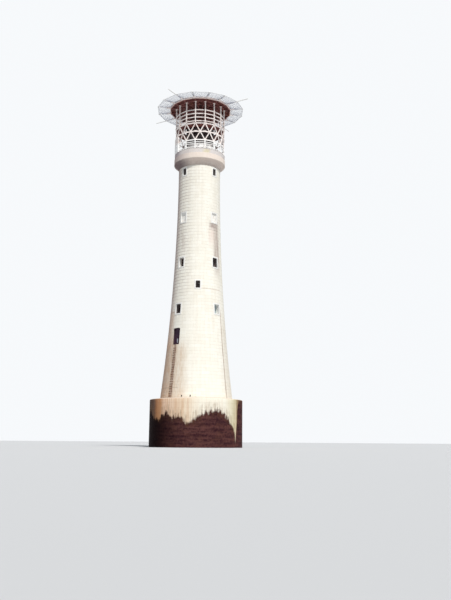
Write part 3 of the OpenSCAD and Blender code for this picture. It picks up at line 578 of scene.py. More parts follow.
dry = ramped(tree, above, -0.14, 0.16)
colour = blended(tree, dry, growth, pale)
fringe = times(tree, between(tree, above, 0.02, 0.46, 0.16), fine_runs, 0.62)
colour = blended(tree, fringe, colour, (0.26, 0.16, 0.08))
crust = times(tree, between(tree, above, -0.34, 0.04, 0.12), runs, varied(tree, 0.65, shaded_left, -0.45))
colour = blended(tree, crust, colour, (0.075, 0.036, 0.018))
colour = blended(tree, times(tree, speck["Speckle"], dry, 0.18), colour, (0.30, 0.25, 0.22))
drip = times(tree, on_side(tree, position, 100.2, 0.9, 0.6), between(tree, xyz[2], 0.55, 2.9, 0.35),
             plus(tree, 0.5, ragged), 0.85)
colour = blended(tree, drip, colour, (0.74, 0.62, 0.45))
# Painted highlight: the drum's rounded top edge made paler, where light from above falls.
lip = times(tree, ramped(tree, xyz[2], 3.08, 3.12), 0.7)
colour = blended(tree, lip, colour, (0.88, 0.76, 0.66))
coloured(tree, shader, colour)
shader.inputs["Specular IOR Level"].default_value = 0.02
tree.links.new(ramped(tree, dry, 0.0, 1.0, 0.62, 0.90), shader.inputs["Roughness"])
relief = plus(tree, times(tree, speck["Height"], 0.5), times(tree, ragged, 0.5))
raised(tree, shader, relief, 0.010, 0.8)
print("base granite with", len(stops), "colours round the drum")

# %% [markdown]
# ## Paint and rust
# The steelwork is painted white, with rust that creeps out in small islands and runs down in thin
# streaks. The kerb, the roof, the door and the window frames are painted too, in their own colours
# and with more or less rust, so one recipe serves them all and takes its colours as values. Some of
# them get marks: the wall under the lantern is whiter, which is painted light; the deck's edge is
# warmer and brighter, partly painted light; the kerb's left side has painted shade; the fifth
# storey's frames keep white flakes, one window's frame is pale blue, and the roof has a rusty patch.

# %% The recipe of old paint
ALL_ROUND = (0, 180, 1)  # a mark's facing, half width and softness when it goes all the way round

def painted(name, paint, worn, rust, cover, roughness, scale=5.0, gloss=0.5):
    """Old paint: two tones of it, islands of rust, and fine runs under them."""
    tree, shader, position = new_finish(name, roughness)
    shader.inputs["Specular IOR Level"].default_value = gloss
    patch = use(tree, blotches, Position=position, Scale=scale * 0.4, Cover=0.45)["Mask"]
    islands = use(tree, blotches, Position=position, Scale=scale, Cover=cover)["Mask"]
    runs = use(tree, streaks, Position=position, Width=0.03, Length=0.5)["Mask"]
    speck = use(tree, grain, Position=position, Scale=90.0)
    colour = blended(tree, times(tree, patch, 0.8), paint, worn)
    colour = blended(tree, times(tree, runs, 0.16), colour, rust)
    colour = blended(tree, times(tree, islands, 0.85), colour, rust)
    dark_rust = tuple(0.45 * part for part in rust)
    colour = blended(tree, times(tree, islands, speck["Speckle"], 0.5), colour, dark_rust)
    coloured(tree, shader, colour)
    rough = varied(tree, varied(tree, roughness, islands, 0.35), patch, 0.08)
    tree.links.new(rough, shader.inputs["Roughness"])
    relief = plus(tree, times(tree, speck["Height"], 0.3), times(tree, islands, 0.7))
    raised(tree, shader, relief, 0.002, 0.6)
    return tree, shader, position, colour

painted("deck_steel", (0.270, 0.105, 0.098), (0.130, 0.045, 0.046), (0.29, 0.12, 0.065),
        0.30, 0.6, 3.0, 0.15)
painted("dark_iron", (0.10, 0.13, 0.11), (0.15, 0.17, 0.15), (0.32, 0.20, 0.12), 0.10, 0.4)
painted("rusted_iron", (0.16, 0.085, 0.06), (0.10, 0.055, 0.045), (0.30, 0.14, 0.07),
        0.55, 0.8, 12.0, 0.2)
painted("white_board", (0.94, 0.93, 0.89), (0.86, 0.84, 0.79), (0.50, 0.38, 0.28), 0.12, 0.6)
print("painted finishes:", len(finishes) - 2)

# %% Painted finishes with marks
FASCIA_FROM, FASCIA_FULL = 2.206, 2.2026  # distance from the axis: the fascia lies inside it

tree, shader, position, colour = painted("white_steel", (0.95, 0.88, 0.85), (0.87, 0.77, 0.73),
                                         (0.46, 0.26, 0.16), 0.17, 0.42)
lit_parts = use(tree, blotches, Position=position, Scale=1.2, Cover=0.9)["Mask"]
inside = ramped(tree, reach_of(tree, position), FASCIA_FULL, FASCIA_FROM, 1, 0)
coloured(tree, shader, marked(
    tree, colour, position,
    # Painted light: the wall under the lantern painted whiter than the other steel, as if lit.
    ((0.98, 0.97, 0.96), 1.0, *ALL_ROUND, 20.5, 21.24, 0.05, lit_parts),
    # Partly painted light: the fascia brighter, against the shade of the net, and a warmer white.
    ((1.0, 0.85, 0.76), 1.0, *ALL_ROUND, 24.11, 24.60, 0.01, inside)))

tree, shader, position, colour = painted("frame_metal", (0.16, 0.13, 0.13), (0.24, 0.20, 0.20),
                                         (0.34, 0.18, 0.11), 0.22, 0.45, 5.0, 0.3)
flaked = use(tree, blotches, Position=position, Scale=2.0, Cover=0.9)["Mask"]
coloured(tree, shader, marked(
    tree, colour, position,
    ((0.88, 0.87, 0.84), 0.92, *ALL_ROUND, 15.1, 16.3, 0.02, flaked),
    ((0.66, 0.74, 0.76), 0.95, 90, 14, 1, 8.7, 9.7, 0.02, flaked)))

tree, shader, position, colour = painted("grey_kerb", (0.68, 0.64, 0.63), (0.55, 0.49, 0.49),
                                         (0.50, 0.40, 0.27), 0.25, 0.6, 2.5)
wear = use(tree, blotches, Position=position, Scale=2.0, Cover=0.7)["Mask"]
coloured(tree, shader, marked(
    tree, colour, position,
    # Painted shade on the kerb's left side.
    ((0.34, 0.26, 0.28), 0.62, -32, 26, 14, 20.2, 20.62, 0.08),
    ((0.68, 0.61, 0.42), 0.80, 60, 8, 5, 20.2, 20.52, 0.08, wear),
    ((0.74, 0.68, 0.64), 0.5, 20, 22, 8, 20.2, 20.6, 0.1, wear)))

tree, shader, position, colour = painted("roof_metal", (0.10, 0.030, 0.026), (0.070, 0.022, 0.022),
                                         (0.30, 0.10, 0.04), 0.28, 0.5, 2.2, 0.2)
wear = use(tree, blotches, Position=position, Scale=3.4, Cover=0.75)["Mask"]
coloured(tree, shader, marked(
    tree, colour, position, ((0.62, 0.17, 0.06), 0.85, 42, 7, 4, 22.9, 23.4, 0.15, wear)))

tree, shader, position, colour = painted("door_metal", (0.036, 0.014, 0.038), (0.062, 0.030, 0.056),
                                         (0.22, 0.12, 0.09), 0.20, 0.55, 5.0, 0.25)
xyz = split(tree, position)
# A pale bluish strip low on the leaves, by their meeting edge.
pale_strip = times(tree, between(tree, xyz[0], -0.09, 0.02, 0.015),
                 between(tree, xyz[2], entrance_z + 0.14, entrance_z + 0.42, 0.03), 0.80)
coloured(tree, shader, blended(tree, pale_strip, colour, (0.52, 0.56, 0.63)))
print("painted finishes:", len(finishes) - 2)

# %% [markdown]
# ## Painted stone and floors
# The window surrounds are stone under thick white paint, a little stained below and chipped. Their
# inner sides get the same dark wash as the wall's, painted shade with some stain. Floors are of flat
# slabs.

# %% Make the stone finishes
def laid(tree, position, gap, width, depth, *tones):
    """Slabs or plates laid side by side, in two tones, with the gap's own tone last."""
    colours = {label: (*tone, 1) for label, tone in zip(("Color1", "Color2", "Mortar"), tones)}
    return add(tree, "TexBrick", {"Vector": position, "Scale": 1.0, "Mortar Size": gap,
                                  "Brick Width": width, "Row Height": depth, **colours}).outputs

tree, shader, position = new_finish("white_stone", 0.7)
speck = use(tree, grain, Position=position, Scale=40.0)
runs = use(tree, streaks, Position=position, Width=0.05, Length=0.45)["Mask"]
chips = use(tree, blotches, Position=position, Scale=6.0, Cover=0.16)["Mask"]
colour = blended(tree, speck["Speckle"], (0.82, 0.81, 0.79), (0.90, 0.90, 0.88))
colour = blended(tree, times(tree, runs, 0.22), colour, (0.58, 0.48, 0.40))
colour = blended(tree, times(tree, chips, 0.6), colour, (0.56, 0.50, 0.44))
# Painted shade, with some stain, on the sides of the openings.
colour = blended(tree, times(tree, in_shade(tree, position), 0.92), colour, (0.055, 0.035, 0.038))
coloured(tree, shader, colour)
raised(tree, shader, minus(tree, speck["Height"], times(tree, chips, 0.5)), 0.003, 0.6)

tree, shader, position = new_finish("floor_stone", 0.85)
speck = use(tree, grain, Position=position, Scale=50.0)
slabs = laid(tree, position, 0.006, 0.62, 0.31,
             (0.40, 0.39, 0.37), (0.47, 0.46, 0.43), (0.22, 0.21, 0.20))
colour = blended(tree, times(tree, speck["Speckle"], 0.3), slabs[0], (0.60, 0.58, 0.54))
coloured(tree, shader, colour)
raised(tree, shader, minus(tree, speck["Height"], slabs[1]), 0.004, 0.7)
print("finishes so far:", len(finishes))

# %% [markdown]
# ## Galvanised arms, deck plates and net cord
# The net's arms are galvanised, and from the rim cable outwards they are painted white. The deck is
# of grey plates laid side by side, with fine ribs against slipping. Its underside is the colour of
# the beams, so the plates show only on the upper face. The net is of dark blue cord.

# %% Make the finishes of the arms, the deck and the net
PAINT_FROM, PAINT_FULL = 2.885, 2.895  # distance from the axis where the arms' white paint begins
DECK_FROM, DECK_FULL = 24.244, 24.248  # just under the deck's upper face
RIB_PITCH = 0.025

tree, shader, position = new_finish("galvanised_steel", 0.42, 0.5)
spangle = add(tree, "TexVoronoi", {"Vector": position, "Scale": 70.0}).outputs["Color"]
tone = add(tree, "SeparateColor", {0: spangle}).outputs[0]
tip = ramped(tree, reach_of(tree, position), PAINT_FROM, PAINT_FULL)
rust = use(tree, blotches, Position=position, Scale=9.0, Cover=0.2)["Mask"]
colour = blended(tree, tone, (0.62, 0.62, 0.66), (0.80, 0.81, 0.84))
colour = blended(tree, tip, colour, (0.88, 0.87, 0.85))
coloured(tree, shader, blended(tree, times(tree, rust, 0.6), colour, (0.42, 0.26, 0.17)))
bare = minus(tree, 1.0, sums(tree, "MAXIMUM", tip, rust))
tree.links.new(times(tree, bare, 0.5), shader.inputs["Metallic"])
raised(tree, shader, tone, 0.0006, 0.5)

tree, shader, position = new_finish("deck_plating", 0.55, 0.35)
plates = laid(tree, position, 0.004, 1.5, 0.30,
              (0.23, 0.25, 0.24), (0.29, 0.30, 0.29), (0.09, 0.09, 0.09))
xyz = split(tree, position)
ribs = sums(tree, "PINGPONG", sums(tree, "DIVIDE", xyz[1], RIB_PITCH), 0.5)
scuffs = use(tree, blotches, Position=position, Scale=1.6, Cover=0.45)["Mask"]
colour = blended(tree, times(tree, scuffs, 0.4), plates[0], (0.42, 0.41, 0.39))
rusty = use(tree, blotches, Position=position, Scale=2.4, Cover=0.5)["Mask"]
under = blended(tree, rusty, (0.120, 0.040, 0.040), (0.190, 0.068, 0.050))
walked = ramped(tree, xyz[2], DECK_FROM, DECK_FULL)
coloured(tree, shader, blended(tree, walked, under, colour))
shader.inputs["Specular IOR Level"].default_value = 0.2
tree.links.new(times(tree, walked, 0.35), shader.inputs["Metallic"])
tree.links.new(ramped(tree, scuffs, 0.0, 1.0, 0.50, 0.72), shader.inputs["Roughness"])
raised(tree, shader, minus(tree, ribs, plates[1]), 0.003, 0.8)

tree, shader, position = new_finish("net_cord", 0.85)
lay = use(tree, grain, Position=position, Scale=160.0)
coloured(tree, shader, blended(tree, lay["Speckle"], (0.035, 0.045, 0.105), (0.09, 0.11, 0.21)))
raised(tree, shader, lay["Height"], 0.001, 0.8)
print("finishes so far:", len(finishes))

# %% [markdown]
# ## Glass, and every node's finish
# Glass is nearly clear under a film of dust: the dark of the rooms behind it gives the windows
# their colour. One window on the right has a painted pale blue reflection, and a small one has a
# white patch. Then each node of the construction gets the finish that the record names for it.

# %% Make the glass and dress the construction
GLASS_IOR = 1.45

def glassy(name, tint, roughness, transmission, dust, gloss=0.5):
    """Glass with a film of dust, thicker in blotches."""
    tree, shader, position = new_finish(name, roughness)
    shader.inputs["Transmission Weight"].default_value = transmission
    shader.inputs["IOR"].default_value = GLASS_IOR
    shader.inputs["Specular IOR Level"].default_value = gloss
    film = use(tree, blotches, Position=position, Scale=2.5, Cover=0.5)["Mask"]
    fine = use(tree, grain, Position=position, Scale=35.0)
    colour = blended(tree, times(tree, film, dust), tint, (0.60, 0.58, 0.55))
    coloured(tree, shader, colour)
    tree.links.new(varied(tree, roughness, film, 0.18), shader.inputs["Roughness"])
    raised(tree, shader, fine["Height"], 0.0006, 0.3)
    return tree, shader, position, colour

tree, shader, position, colour = glassy("window_glass", (0.050, 0.028, 0.030), 0.08, 0.35, 0.04,
                                        0.15)
coloured(tree, shader, marked(
    tree, colour, position,
    # Painted reflection: pale blue on the glass of the window on the right at 9.2 m.
    ((0.62, 0.72, 0.74), 1.0, 90, 12, 1, 8.8, 9.7, 0.02),
    ((0.85, 0.85, 0.84), 0.90, 47, 1.6, 0.4, 10.90, 10.98, 0.01)))
glassy("lens_glass", (0.80, 0.88, 0.86), 0.03, 0.85, 0.05)
glassy("lamp_glass", (0.92, 0.92, 0.90), 0.30, 0.45, 0.10)

subparts = frame["record"]["subparts"]
for part in subparts:
    for place in nodes[part["node"]].material_slots:
        place.material = finishes[part["material_slot"]]
missing = {part["material_slot"] for part in subparts} - set(finishes)
print(len(finishes), "finishes; missing:", missing or "none")

# %% [markdown]
# ## How the pieces are modelled
# New pieces start as a primitive at its real size and place, and are shaped in edit mode and by
# modifiers, as by hand. These helpers select what is meant, apply a modifier, and settle a finished
# piece: its place goes into its mesh, it gets its finish, and it rides on the body that carries it.

# %% Helpers that select and shape
QUARTER = math.pi / 2
TO_FRONT = (QUARTER, 0, 0)  # turns an upright piece's axis to the front

def rest():
    """Leave edit mode and select nothing."""
    if bpy.context.mode != "OBJECT":
        bpy.ops.object.mode_set(mode="OBJECT")
    bpy.ops.object.select_all(action="DESELECT")

def take(*objects):
    """Select these objects alone, the first of them active."""
    rest()
    for obj in objects:
        obj.select_set(True)
    bpy.context.view_layer.objects.active = objects[0]
    return objects[0]

def pick(obj, kind, test=lambda item: True):
    """Edit a mesh with those of its vertices, edges or polygons selected that pass a test."""
    take(obj)
    for group in (obj.data.vertices, obj.data.edges, obj.data.polygons):
        group.foreach_set("select", [False] * len(group))
    chosen = getattr(obj.data, kind)
    flags = test if isinstance(test, np.ndarray) else [bool(test(item)) for item in chosen]
    chosen.foreach_set("select", np.array(flags, bool))
    modes = [kind == name for name in ("vertices", "edges", "polygons")]
    bpy.context.tool_settings.mesh_select_mode = modes
    bpy.ops.object.mode_set(mode="EDIT")

def pushed(step):
    """Extrude what is selected by a step."""
    bpy.ops.mesh.extrude_region_move(TRANSFORM_OT_translate={"value": step})

def all_outwards():
    """Turn every face of the mesh in edit mode outwards."""
    bpy.ops.mesh.select_all(action="SELECT")
    bpy.ops.mesh.normals_make_consistent(inside=False)

def pick_rims():
    """Select the open rims of the mesh in edit mode."""
    bpy.ops.mesh.select_all(action="DESELECT")
    bpy.ops.mesh.select_non_manifold(use_wire=False, use_multi_face=False,
                                     use_non_contiguous=False, use_verts=False)

def ends_closed():
    """Merge what lies double in the mesh in edit mode, and close its open ends."""
    bpy.ops.mesh.select_all(action="SELECT")
    bpy.ops.mesh.remove_doubles(threshold=0.0001)
    pick_rims()
    bpy.ops.mesh.edge_face_add()
    all_outwards()
    rest()

def shaped(obj, kind, **settings):
    """Add one modifier and apply it."""
    take(obj)
    modifier = obj.modifiers.new(kind.lower(), kind)
    for name, value in settings.items():
        setattr(modifier, name, value)
    bpy.ops.object.modifier_apply(modifier=modifier.name)
    return obj

def eased(obj, width, over=30, segments=2):
    """Bevel the edges that are sharper than an angle in degrees."""
    return shaped(obj, "BEVEL", width=width, segments=segments, limit_method="ANGLE",
                  angle_limit=math.radians(over))

def cut_out(obj, cutter):
    """Take one object out of another. The cutter is used up."""
    shaped(obj, "BOOLEAN", operation="DIFFERENCE", solver="EXACT", object=cutter)
    bpy.data.objects.remove(cutter)
    return obj

def smoothed(obj, crease):
    """Shade smooth, apart from the edges that are sharper than an angle in degrees."""
    take(obj)
    bpy.ops.object.shade_smooth_by_angle(angle=math.radians(crease))
    return obj

# %% Helpers that place, add and copy
def placed(obj):
    """Put an object's place, turn and size into its mesh."""
    take(obj)
    bpy.ops.object.transform_apply(location=True, rotation=True, scale=True)
    return obj

def block(size, place, soft=0.0):
    """A box of that size round a place, with eased edges if soft is given."""
    rest()
    bpy.ops.mesh.primitive_cube_add(size=1, location=place)
    obj = bpy.context.object
    obj.scale = size
    placed(obj)
    return eased(obj, soft) if soft else obj

def rod(radius, length, place, turn=(0, 0, 0), sides=12, soft=0.0):
    """A round or many-sided bar round a place, its axis along Z before it is turned."""
    rest()
    bpy.ops.mesh.primitive_cylinder_add(vertices=sides, radius=radius, depth=length, location=place,
                                        rotation=turn)
    obj = placed(bpy.context.object)
    return eased(obj, soft, 50) if soft else obj

def hoop(radius, thick, place, sides=24, section=8):
    """A ring of round bar that stands upright and faces the front."""
    rest()
    bpy.ops.mesh.primitive_torus_add(major_radius=radius, minor_radius=thick, major_segments=sides,
                                     minor_segments=section, location=place, rotation=TO_FRONT)
    return placed(bpy.context.object)

def joined(objects):
    """Join objects into the first of them."""
    take(*objects)
    bpy.ops.object.join()
    return bpy.context.object

def copied(obj):
    """A copy of an object, with a mesh of its own."""
    twin = obj.copy()
    twin.data = obj.data.copy()
    bpy.context.scene.collection.objects.link(twin)
    return twin

def turned(obj, degrees):
    """Turn a piece about the lighthouse's axis."""
    obj.rotation_euler = (0, 0, math.radians(degrees))
    return placed(obj)

def round_the_axis(obj, angles):
    """Copies of a piece at several angles from the doorway, joined into one."""
    twins = [turned(copied(obj), angle) for angle in angles[1:]]
    return joined([turned(obj, angles[0])] + twins)

def spread(pattern, places):
    """Copies of a piece moved to each of the places and joined. The pattern itself is used up."""
    twins = [copied(pattern) for place in places]
    for twin, place in zip(twins, places):
        twin.location = place
    bpy.data.objects.remove(pattern)
    take(*twins)
    bpy.ops.object.transform_apply(location=True, rotation=False, scale=False)
    return joined(twins)

def settled(obj, name, finish, body="tower", instead_of=()):
    """A finished piece: named, placed, painted, and carried by a body."""
    placed(obj)
    obj.name = obj.data.name = name
    obj.data.materials.clear()
    obj.data.materials.append(finishes[finish])
    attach(obj, body)
    if instead_of:
        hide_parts(*instead_of)
    print(name, "-", len(obj.data.polygons), "faces")
    return obj

# %% Draw and spin an outline
def drawn(points, closed=True):
    """A chain of edges, drawn by extruding one vertex from each point to the next."""
    rest()
    bpy.ops.mesh.primitive_plane_add(size=1)
    obj = bpy.context.object
    pick(obj, "vertices")
    bpy.ops.mesh.merge(type="CENTER")
    bpy.ops.transform.translate(value=points[0])
    for start, end in zip(points, points[1:]):
        pushed(Vector(end) - Vector(start))
    rest()
    if closed:
        pick(obj, "vertices", lambda point: point.index in (0, len(points) - 1))
        bpy.ops.mesh.edge_face_add()
        rest()
    return obj

def spun(outline, closed=True, steps=96, crease=30):
    """Spin an outline of (radius, height) points all the way round the axis."""
    obj = drawn([(radius, 0, height) for radius, height in outline], closed)
    pick(obj, "vertices")
    bpy.ops.mesh.spin(steps=steps, angle=2 * math.pi, center=(0, 0, 0), axis=(0, 0, 1))
    bpy.ops.mesh.select_all(action="SELECT")
    bpy.ops.mesh.remove_doubles(threshold=0.0001)
    all_outwards()
    rest()
    return smoothed(obj, crease)

BAYS = 16
bay_angles = [i * 360 / BAYS for i in range(BAYS)]
corner_angles = [(i + 0.5) * 360 / BAYS for i in range(BAYS)]
print(BAYS, "bays; the first corner is at", corner_angles[0], "degrees")

# %% [markdown]
# ## Laying the stones
# The wall's face is laid as real stones with sunk joints. A circle of points is drawn up the wall
# ring by ring, which gives a grid of small faces. The edges between stones are then split, each
# stone is inset by half a joint, and its rim is sunk a few millimetres. Merging the rims closes the
# joints again, and Solidify turns the skin into a closed shell that sits on the wall.

# %% Lay a skin of stones on a round wall
PROUD, JOINT, SUNK, SKIN = 0.009, 0.012, 0.0065, 0.016
COLUMNS, STONE_CREASE = 4, 22  # faces across each stone, and the angle that stays sharp

def stone_joints(mesh, rings, beds, total):
    """Which edges of the grid lie between two stones: bed joints, and head joints set by turns."""
    points = np.empty(len(mesh.vertices) * 3)
    mesh.vertices.foreach_get("co", points)
    points = points.reshape(-1, 3)
    radius, height = np.hypot(points[:, 0], points[:, 1]), points[:, 2]
    known = np.array(rings)
    ring = np.hypot(radius[:, None] - known[:, 0], height[:, None] - known[:, 1]).argmin(1)
    turn = (np.arctan2(points[:, 1], points[:, 0]) - QUARTER) / (2 * math.pi) * total
    column = np.rint(turn).astype(int) % total
    ends = np.empty(len(mesh.edges) * 2, int)
    mesh.edges.foreach_get("vertices", ends)
    a, b = ends.reshape(-1, 2).T
    is_bed = np.array([number in beds for number in range(len(rings))])
    course = np.cumsum(is_bed)[np.minimum(ring[a], ring[b])]
    shift = np.where(course % 2 == 1, 0, COLUMNS // 2)
    is_head = (column[a] + shift) % COLUMNS == 0
    return np.where(ring[a] == ring[b], is_bed[ring[a]], is_head)

def lay_stones(name, rings, beds, stones=STONES):
    """rings are (radius, height) from the lowest up, and beds says which of them are bed joints."""
    rings = [(radius + PROUD, height) for radius, height in rings]
    rest()
    bpy.ops.mesh.primitive_circle_add(vertices=stones * COLUMNS, radius=rings[0][0],
                                      location=(0, 0, rings[0][1]))
    obj = placed(bpy.context.object)
    pick(obj, "vertices")
    for (r0, z0), (r1, z1) in zip(rings, rings[1:]):
        pushed((0, 0, z1 - z0))
        bpy.ops.transform.resize(value=(r1 / r0, r1 / r0, 1), center_override=(0, 0, 0))
    rest()
    pick(obj, "edges", stone_joints(obj.data, rings, beds, stones * COLUMNS))
    bpy.ops.mesh.edge_split(type="EDGE")
    all_outwards()
    bpy.ops.mesh.inset(thickness=JOINT / 2, use_boundary=True, use_even_offset=True)
    pick_rims()
    bpy.ops.transform.shrink_fatten(value=-SUNK)
    bpy.ops.mesh.select_all(action="SELECT")
    bpy.ops.mesh.remove_doubles(threshold=0.0012)
    all_outwards()
    rest()
    shaped(obj, "SOLIDIFY", thickness=SKIN, offset=-1.0)
    obj.name = name
    return obj

print("stones stand", PROUD, "m proud, with joints", JOINT, "m wide and", SUNK, "m deep")

# %% [markdown]
# ## Cutting the openings
# The stones stop at the window surrounds, the doorway and the two drain holes. Each opening is one
# closed block through the wall, and all of them are taken out of the skin in one Boolean.

# %% The openings of the tower
FOUR_SIDES = (0, 90, 180, 270)
WINDOWS = (  # middle's height, width, height, angles from the doorway
    (9.20, 0.45, 0.65, FOUR_SIDES),
    (10.825, 0.295, 0.50, (45, 225)),
    (12.475, 0.45, 0.65, FOUR_SIDES),
    (15.70, 0.45, 0.65, FOUR_SIDES),
    (19.075, 0.295, 0.50, FOUR_SIDES),
)
SHUTTERED = WINDOWS[3]
SURROUND = 0.09
DOOR_W, DOOR_H, DOOR_CORNER = 0.655, 1.13, 0.125
DRAIN_W, DRAIN_H, DRAIN_UP, DRAIN_SIDES = 0.075, 0.12, 0.1, (21.7, 35.6)
THROUGH, WALL_Y = 2.3, -2.0  # a block's depth and its middle, so that it reaches through any wall
NEAR = 1e-4

def opening(width, tall, foot, angle):
    """A block through the wall on one side."""
    return turned(block((width, THROUGH, tall), (0, WALL_Y, foot + tall / 2)), angle)

def doorway():
    """A block through the doorway, its two upper corners rounded."""
    tool = block((DOOR_W, 2.0, DOOR_H), (0, -2.2, entrance_z + DOOR_H / 2))
    highest = max(point.co.z for point in tool.data.vertices)

    def along_the_top(edge):
        first, last = (tool.data.vertices[i].co for i in edge.vertices)
        return min(first.z, last.z) > highest - NEAR and abs(first.x - last.x) < NEAR

    pick(tool, "edges", along_the_top)
    bpy.ops.mesh.bevel(offset=DOOR_CORNER, segments=6)
    rest()
    return tool

print(sum(len(window[3]) for window in WINDOWS), "windows")

# %% The stones of the tower
TOP_GAP = 0.0005  # keeps the rings of two pieces apart

def wall_piece(name, first, last):
    """The stones from one course to another."""
    heights = [foot_z + number * course_h for number in range(first, last + 1)]
    rings = [(face_radius(height), height) for height in heights]
    rings[-1] = (rings[-1][0], rings[-1][1] - TOP_GAP)
    obj = lay_stones(name, rings, set(range(len(rings))))
    low, high = rings[0][1], rings[-1][1]
    tools = []
    for middle, width, tall, angles in WINDOWS:
        if low - 0.5 < middle < high + 0.5:
            tools += [opening(width + 2 * SURROUND, tall + 2 * SURROUND, middle - tall / 2 - SURROUND,
                              angle) for angle in angles]
    if low < entrance_z + 0.5 and high > entrance_z:
        tools.append(doorway())
    if first == 0:
        tools += [opening(DRAIN_W, DRAIN_H, foot_z + DRAIN_UP, angle) for angle in DRAIN_SIDES]
    cut_out(obj, joined(tools))
    return settled(smoothed(obj, STONE_CREASE), name, "granite")

wall_piece("stones_of_the_foot", 0, 16)
wall_piece("stones_of_the_entrance", 16, 33)
wall_piece("stones_of_the_shaft", 33, 52)
wall_piece("stones_of_the_top", 52, TOWER_COURSES)

# %% [markdown]
# ## The stones of the base and of the gallery
# The drum's own face has larger stones, and its top is paved with flat ones that meet the tower.
# The same way of laying serves, with a profile that turns over the drum's eased edge. Under the
# gallery, the cove is one course of curved stones, and the band above it is another.

# %% Lay the base and the cornice
DRUM_COURSES, DRUM_LOW, EASE, PAVING_R = 9, 0.003, 0.045, 2.79
base_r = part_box("base_drum")[1].x
drum_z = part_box("base_drum")[1].z
profile = [(base_r, DRUM_LOW + number * (drum_z - DRUM_LOW) / DRUM_COURSES)
           for number in range(DRUM_COURSES + 1)]
profile.append((base_r, foot_z - EASE))
for turn in (30, 60, 90):
    bend = math.radians(turn)
    profile.append((base_r - EASE + EASE * math.cos(bend) - PROUD * (1 - math.cos(bend)),
                    foot_z - EASE + (EASE + PROUD) * math.sin(bend)))
profile += [(PAVING_R, foot_z + PROUD), (foot_r + 0.002, foot_z + PROUD)]
base = lay_stones("stones_of_the_base", profile, set(range(10)) | {13, 14, 15}, BASE_STONES)
settled(smoothed(base, STONE_CREASE), "stones_of_the_base", "base_granite")

COVE_H, COVE_STEPS = 0.40, 6
cornice_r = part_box("gallery_cornice")[1].x
band_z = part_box("gallery_cornice")[1].z
cove_in = cornice_r - top_r
cove_r = (COVE_H ** 2 + cove_in ** 2) / (2 * cove_in)
profile = []
for step in range(COVE_STEPS + 1):
    bend = step / COVE_STEPS * math.asin(COVE_H / cove_r)
    profile.append((top_r + cove_r - (cove_r - PROUD) * math.cos(bend) - PROUD,
                    cornice_z + (cove_r - PROUD) * math.sin(bend)))
profile += [(cornice_r, cornice_z + COVE_H - 0.004), (cornice_r, band_z - 0.001)]
cornice = lay_stones("stones_of_the_cornice", profile, {0, 7, 8})
settled(smoothed(cornice, STONE_CREASE), "stones_of_the_cornice", "granite")

# %% [markdown]
# ## Painted stone round the windows
# Each window has a raised surround of painted stone. The construction's own surrounds follow the
# wall's curve and batter, so a copy of them is cleaned up: its loose triangles are merged, flat
# faces are joined, the outer faces are drawn out past the wall's stones, and all edges are eased.

# %% Raise the window surrounds
RAISED = 0.024

def clean_copy(node):
    """A copy of a construction node as one clean mesh."""
    twin = copied(nodes[node])
    twin.parent = None
    for key in [key for key in twin.keys() if key.startswith("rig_")]:
        del twin[key]
    pick(twin, "vertices")
    bpy.ops.mesh.remove_doubles(threshold=0.00005)
    bpy.ops.mesh.dissolve_limited(angle_limit=math.radians(0.5))
    rest()
    return twin

def on_the_face(face):
    """Whether a polygon lies in the outer face of the wall and looks outwards."""
    reach = math.hypot(face.center.x, face.center.y)
    looks_out = (face.normal.x * face.center.x + face.normal.y * face.center.y) / reach
    return looks_out > 0.8 and reach > face_radius(face.center.z) - 0.03

surrounds = clean_copy("window_surrounds")
pick(surrounds, "polygons", on_the_face)
bpy.ops.mesh.extrude_region_shrink_fatten(TRANSFORM_OT_shrink_fatten={"value": RAISED})
rest()
eased(surrounds, 0.005, 40)
settled(surrounds, "raised_surrounds", "white_stone", instead_of=("window_surrounds",))

# %% [markdown]
# ## Bars, boards and vents in the windows
# The glazed windows have an upright and two cross bars in front of the pane. The windows of the
# fifth storey are closed by boarded shutters with a round vent. One of each is modelled facing
# the front, and turned copies of it serve the other sides.

# %% Make the glazing bars
GLAZED_SETBACK, SHUTTER_SETBACK, FRAME_D, FRAME_W = 0.25, 0.04, 0.04, 0.032
UPRIGHT_W, CROSS_W, BAR_D = 0.020, 0.018, 0.024

def window_bars(width, tall, middle):
    """One window's bars, from frame to frame."""
    y = -(face_radius(middle) - GLAZED_SETBACK - FRAME_D + BAR_D / 2 + 0.001)
    across, upwards = width - 2 * FRAME_W + 0.01, tall - 2 * FRAME_W + 0.01
    bars = [block((UPRIGHT_W, BAR_D, upwards), (0, y, middle), 0.003)]
    for rise in (-tall / 6, tall / 6):
        bars.append(block((across, BAR_D * 0.9, CROSS_W), (0, y, middle + rise), 0.003))
    return joined(bars)

bars = [round_the_axis(window_bars(width, tall, middle), angles)
        for middle, width, tall, angles in WINDOWS if middle != SHUTTERED[0]]
settled(joined(bars), "window_bars", "frame_metal")

# %% Make the shutters' boards, vents and hinges
BOARDS, BOARD_T, VENT_R = 5, 0.012, 0.030
STRAP_X, KNUCKLE_X, BOLT_X = -0.04, -0.19, (-0.14, -0.04, 0.06)
middle, width, tall, sides = SHUTTERED
board_y = -(face_radius(middle) - SHUTTER_SETBACK - FRAME_D)
vent_z = middle + tall / 4
inner_w, inner_h = width - 2 * FRAME_W - 0.006, tall - 2 * FRAME_W - 0.006
board = (inner_w / BOARDS - 0.003, BOARD_T, inner_h)
boards = [block(board, ((number - 2) * inner_w / BOARDS, board_y - 0.006, middle), 0.0025)
          for number in range(BOARDS)]
boards = cut_out(joined(boards), rod(VENT_R, 0.1, (0, board_y, vent_z), TO_FRONT, 24))
settled(round_the_axis(boards, sides), "shutter_boards", "white_board")

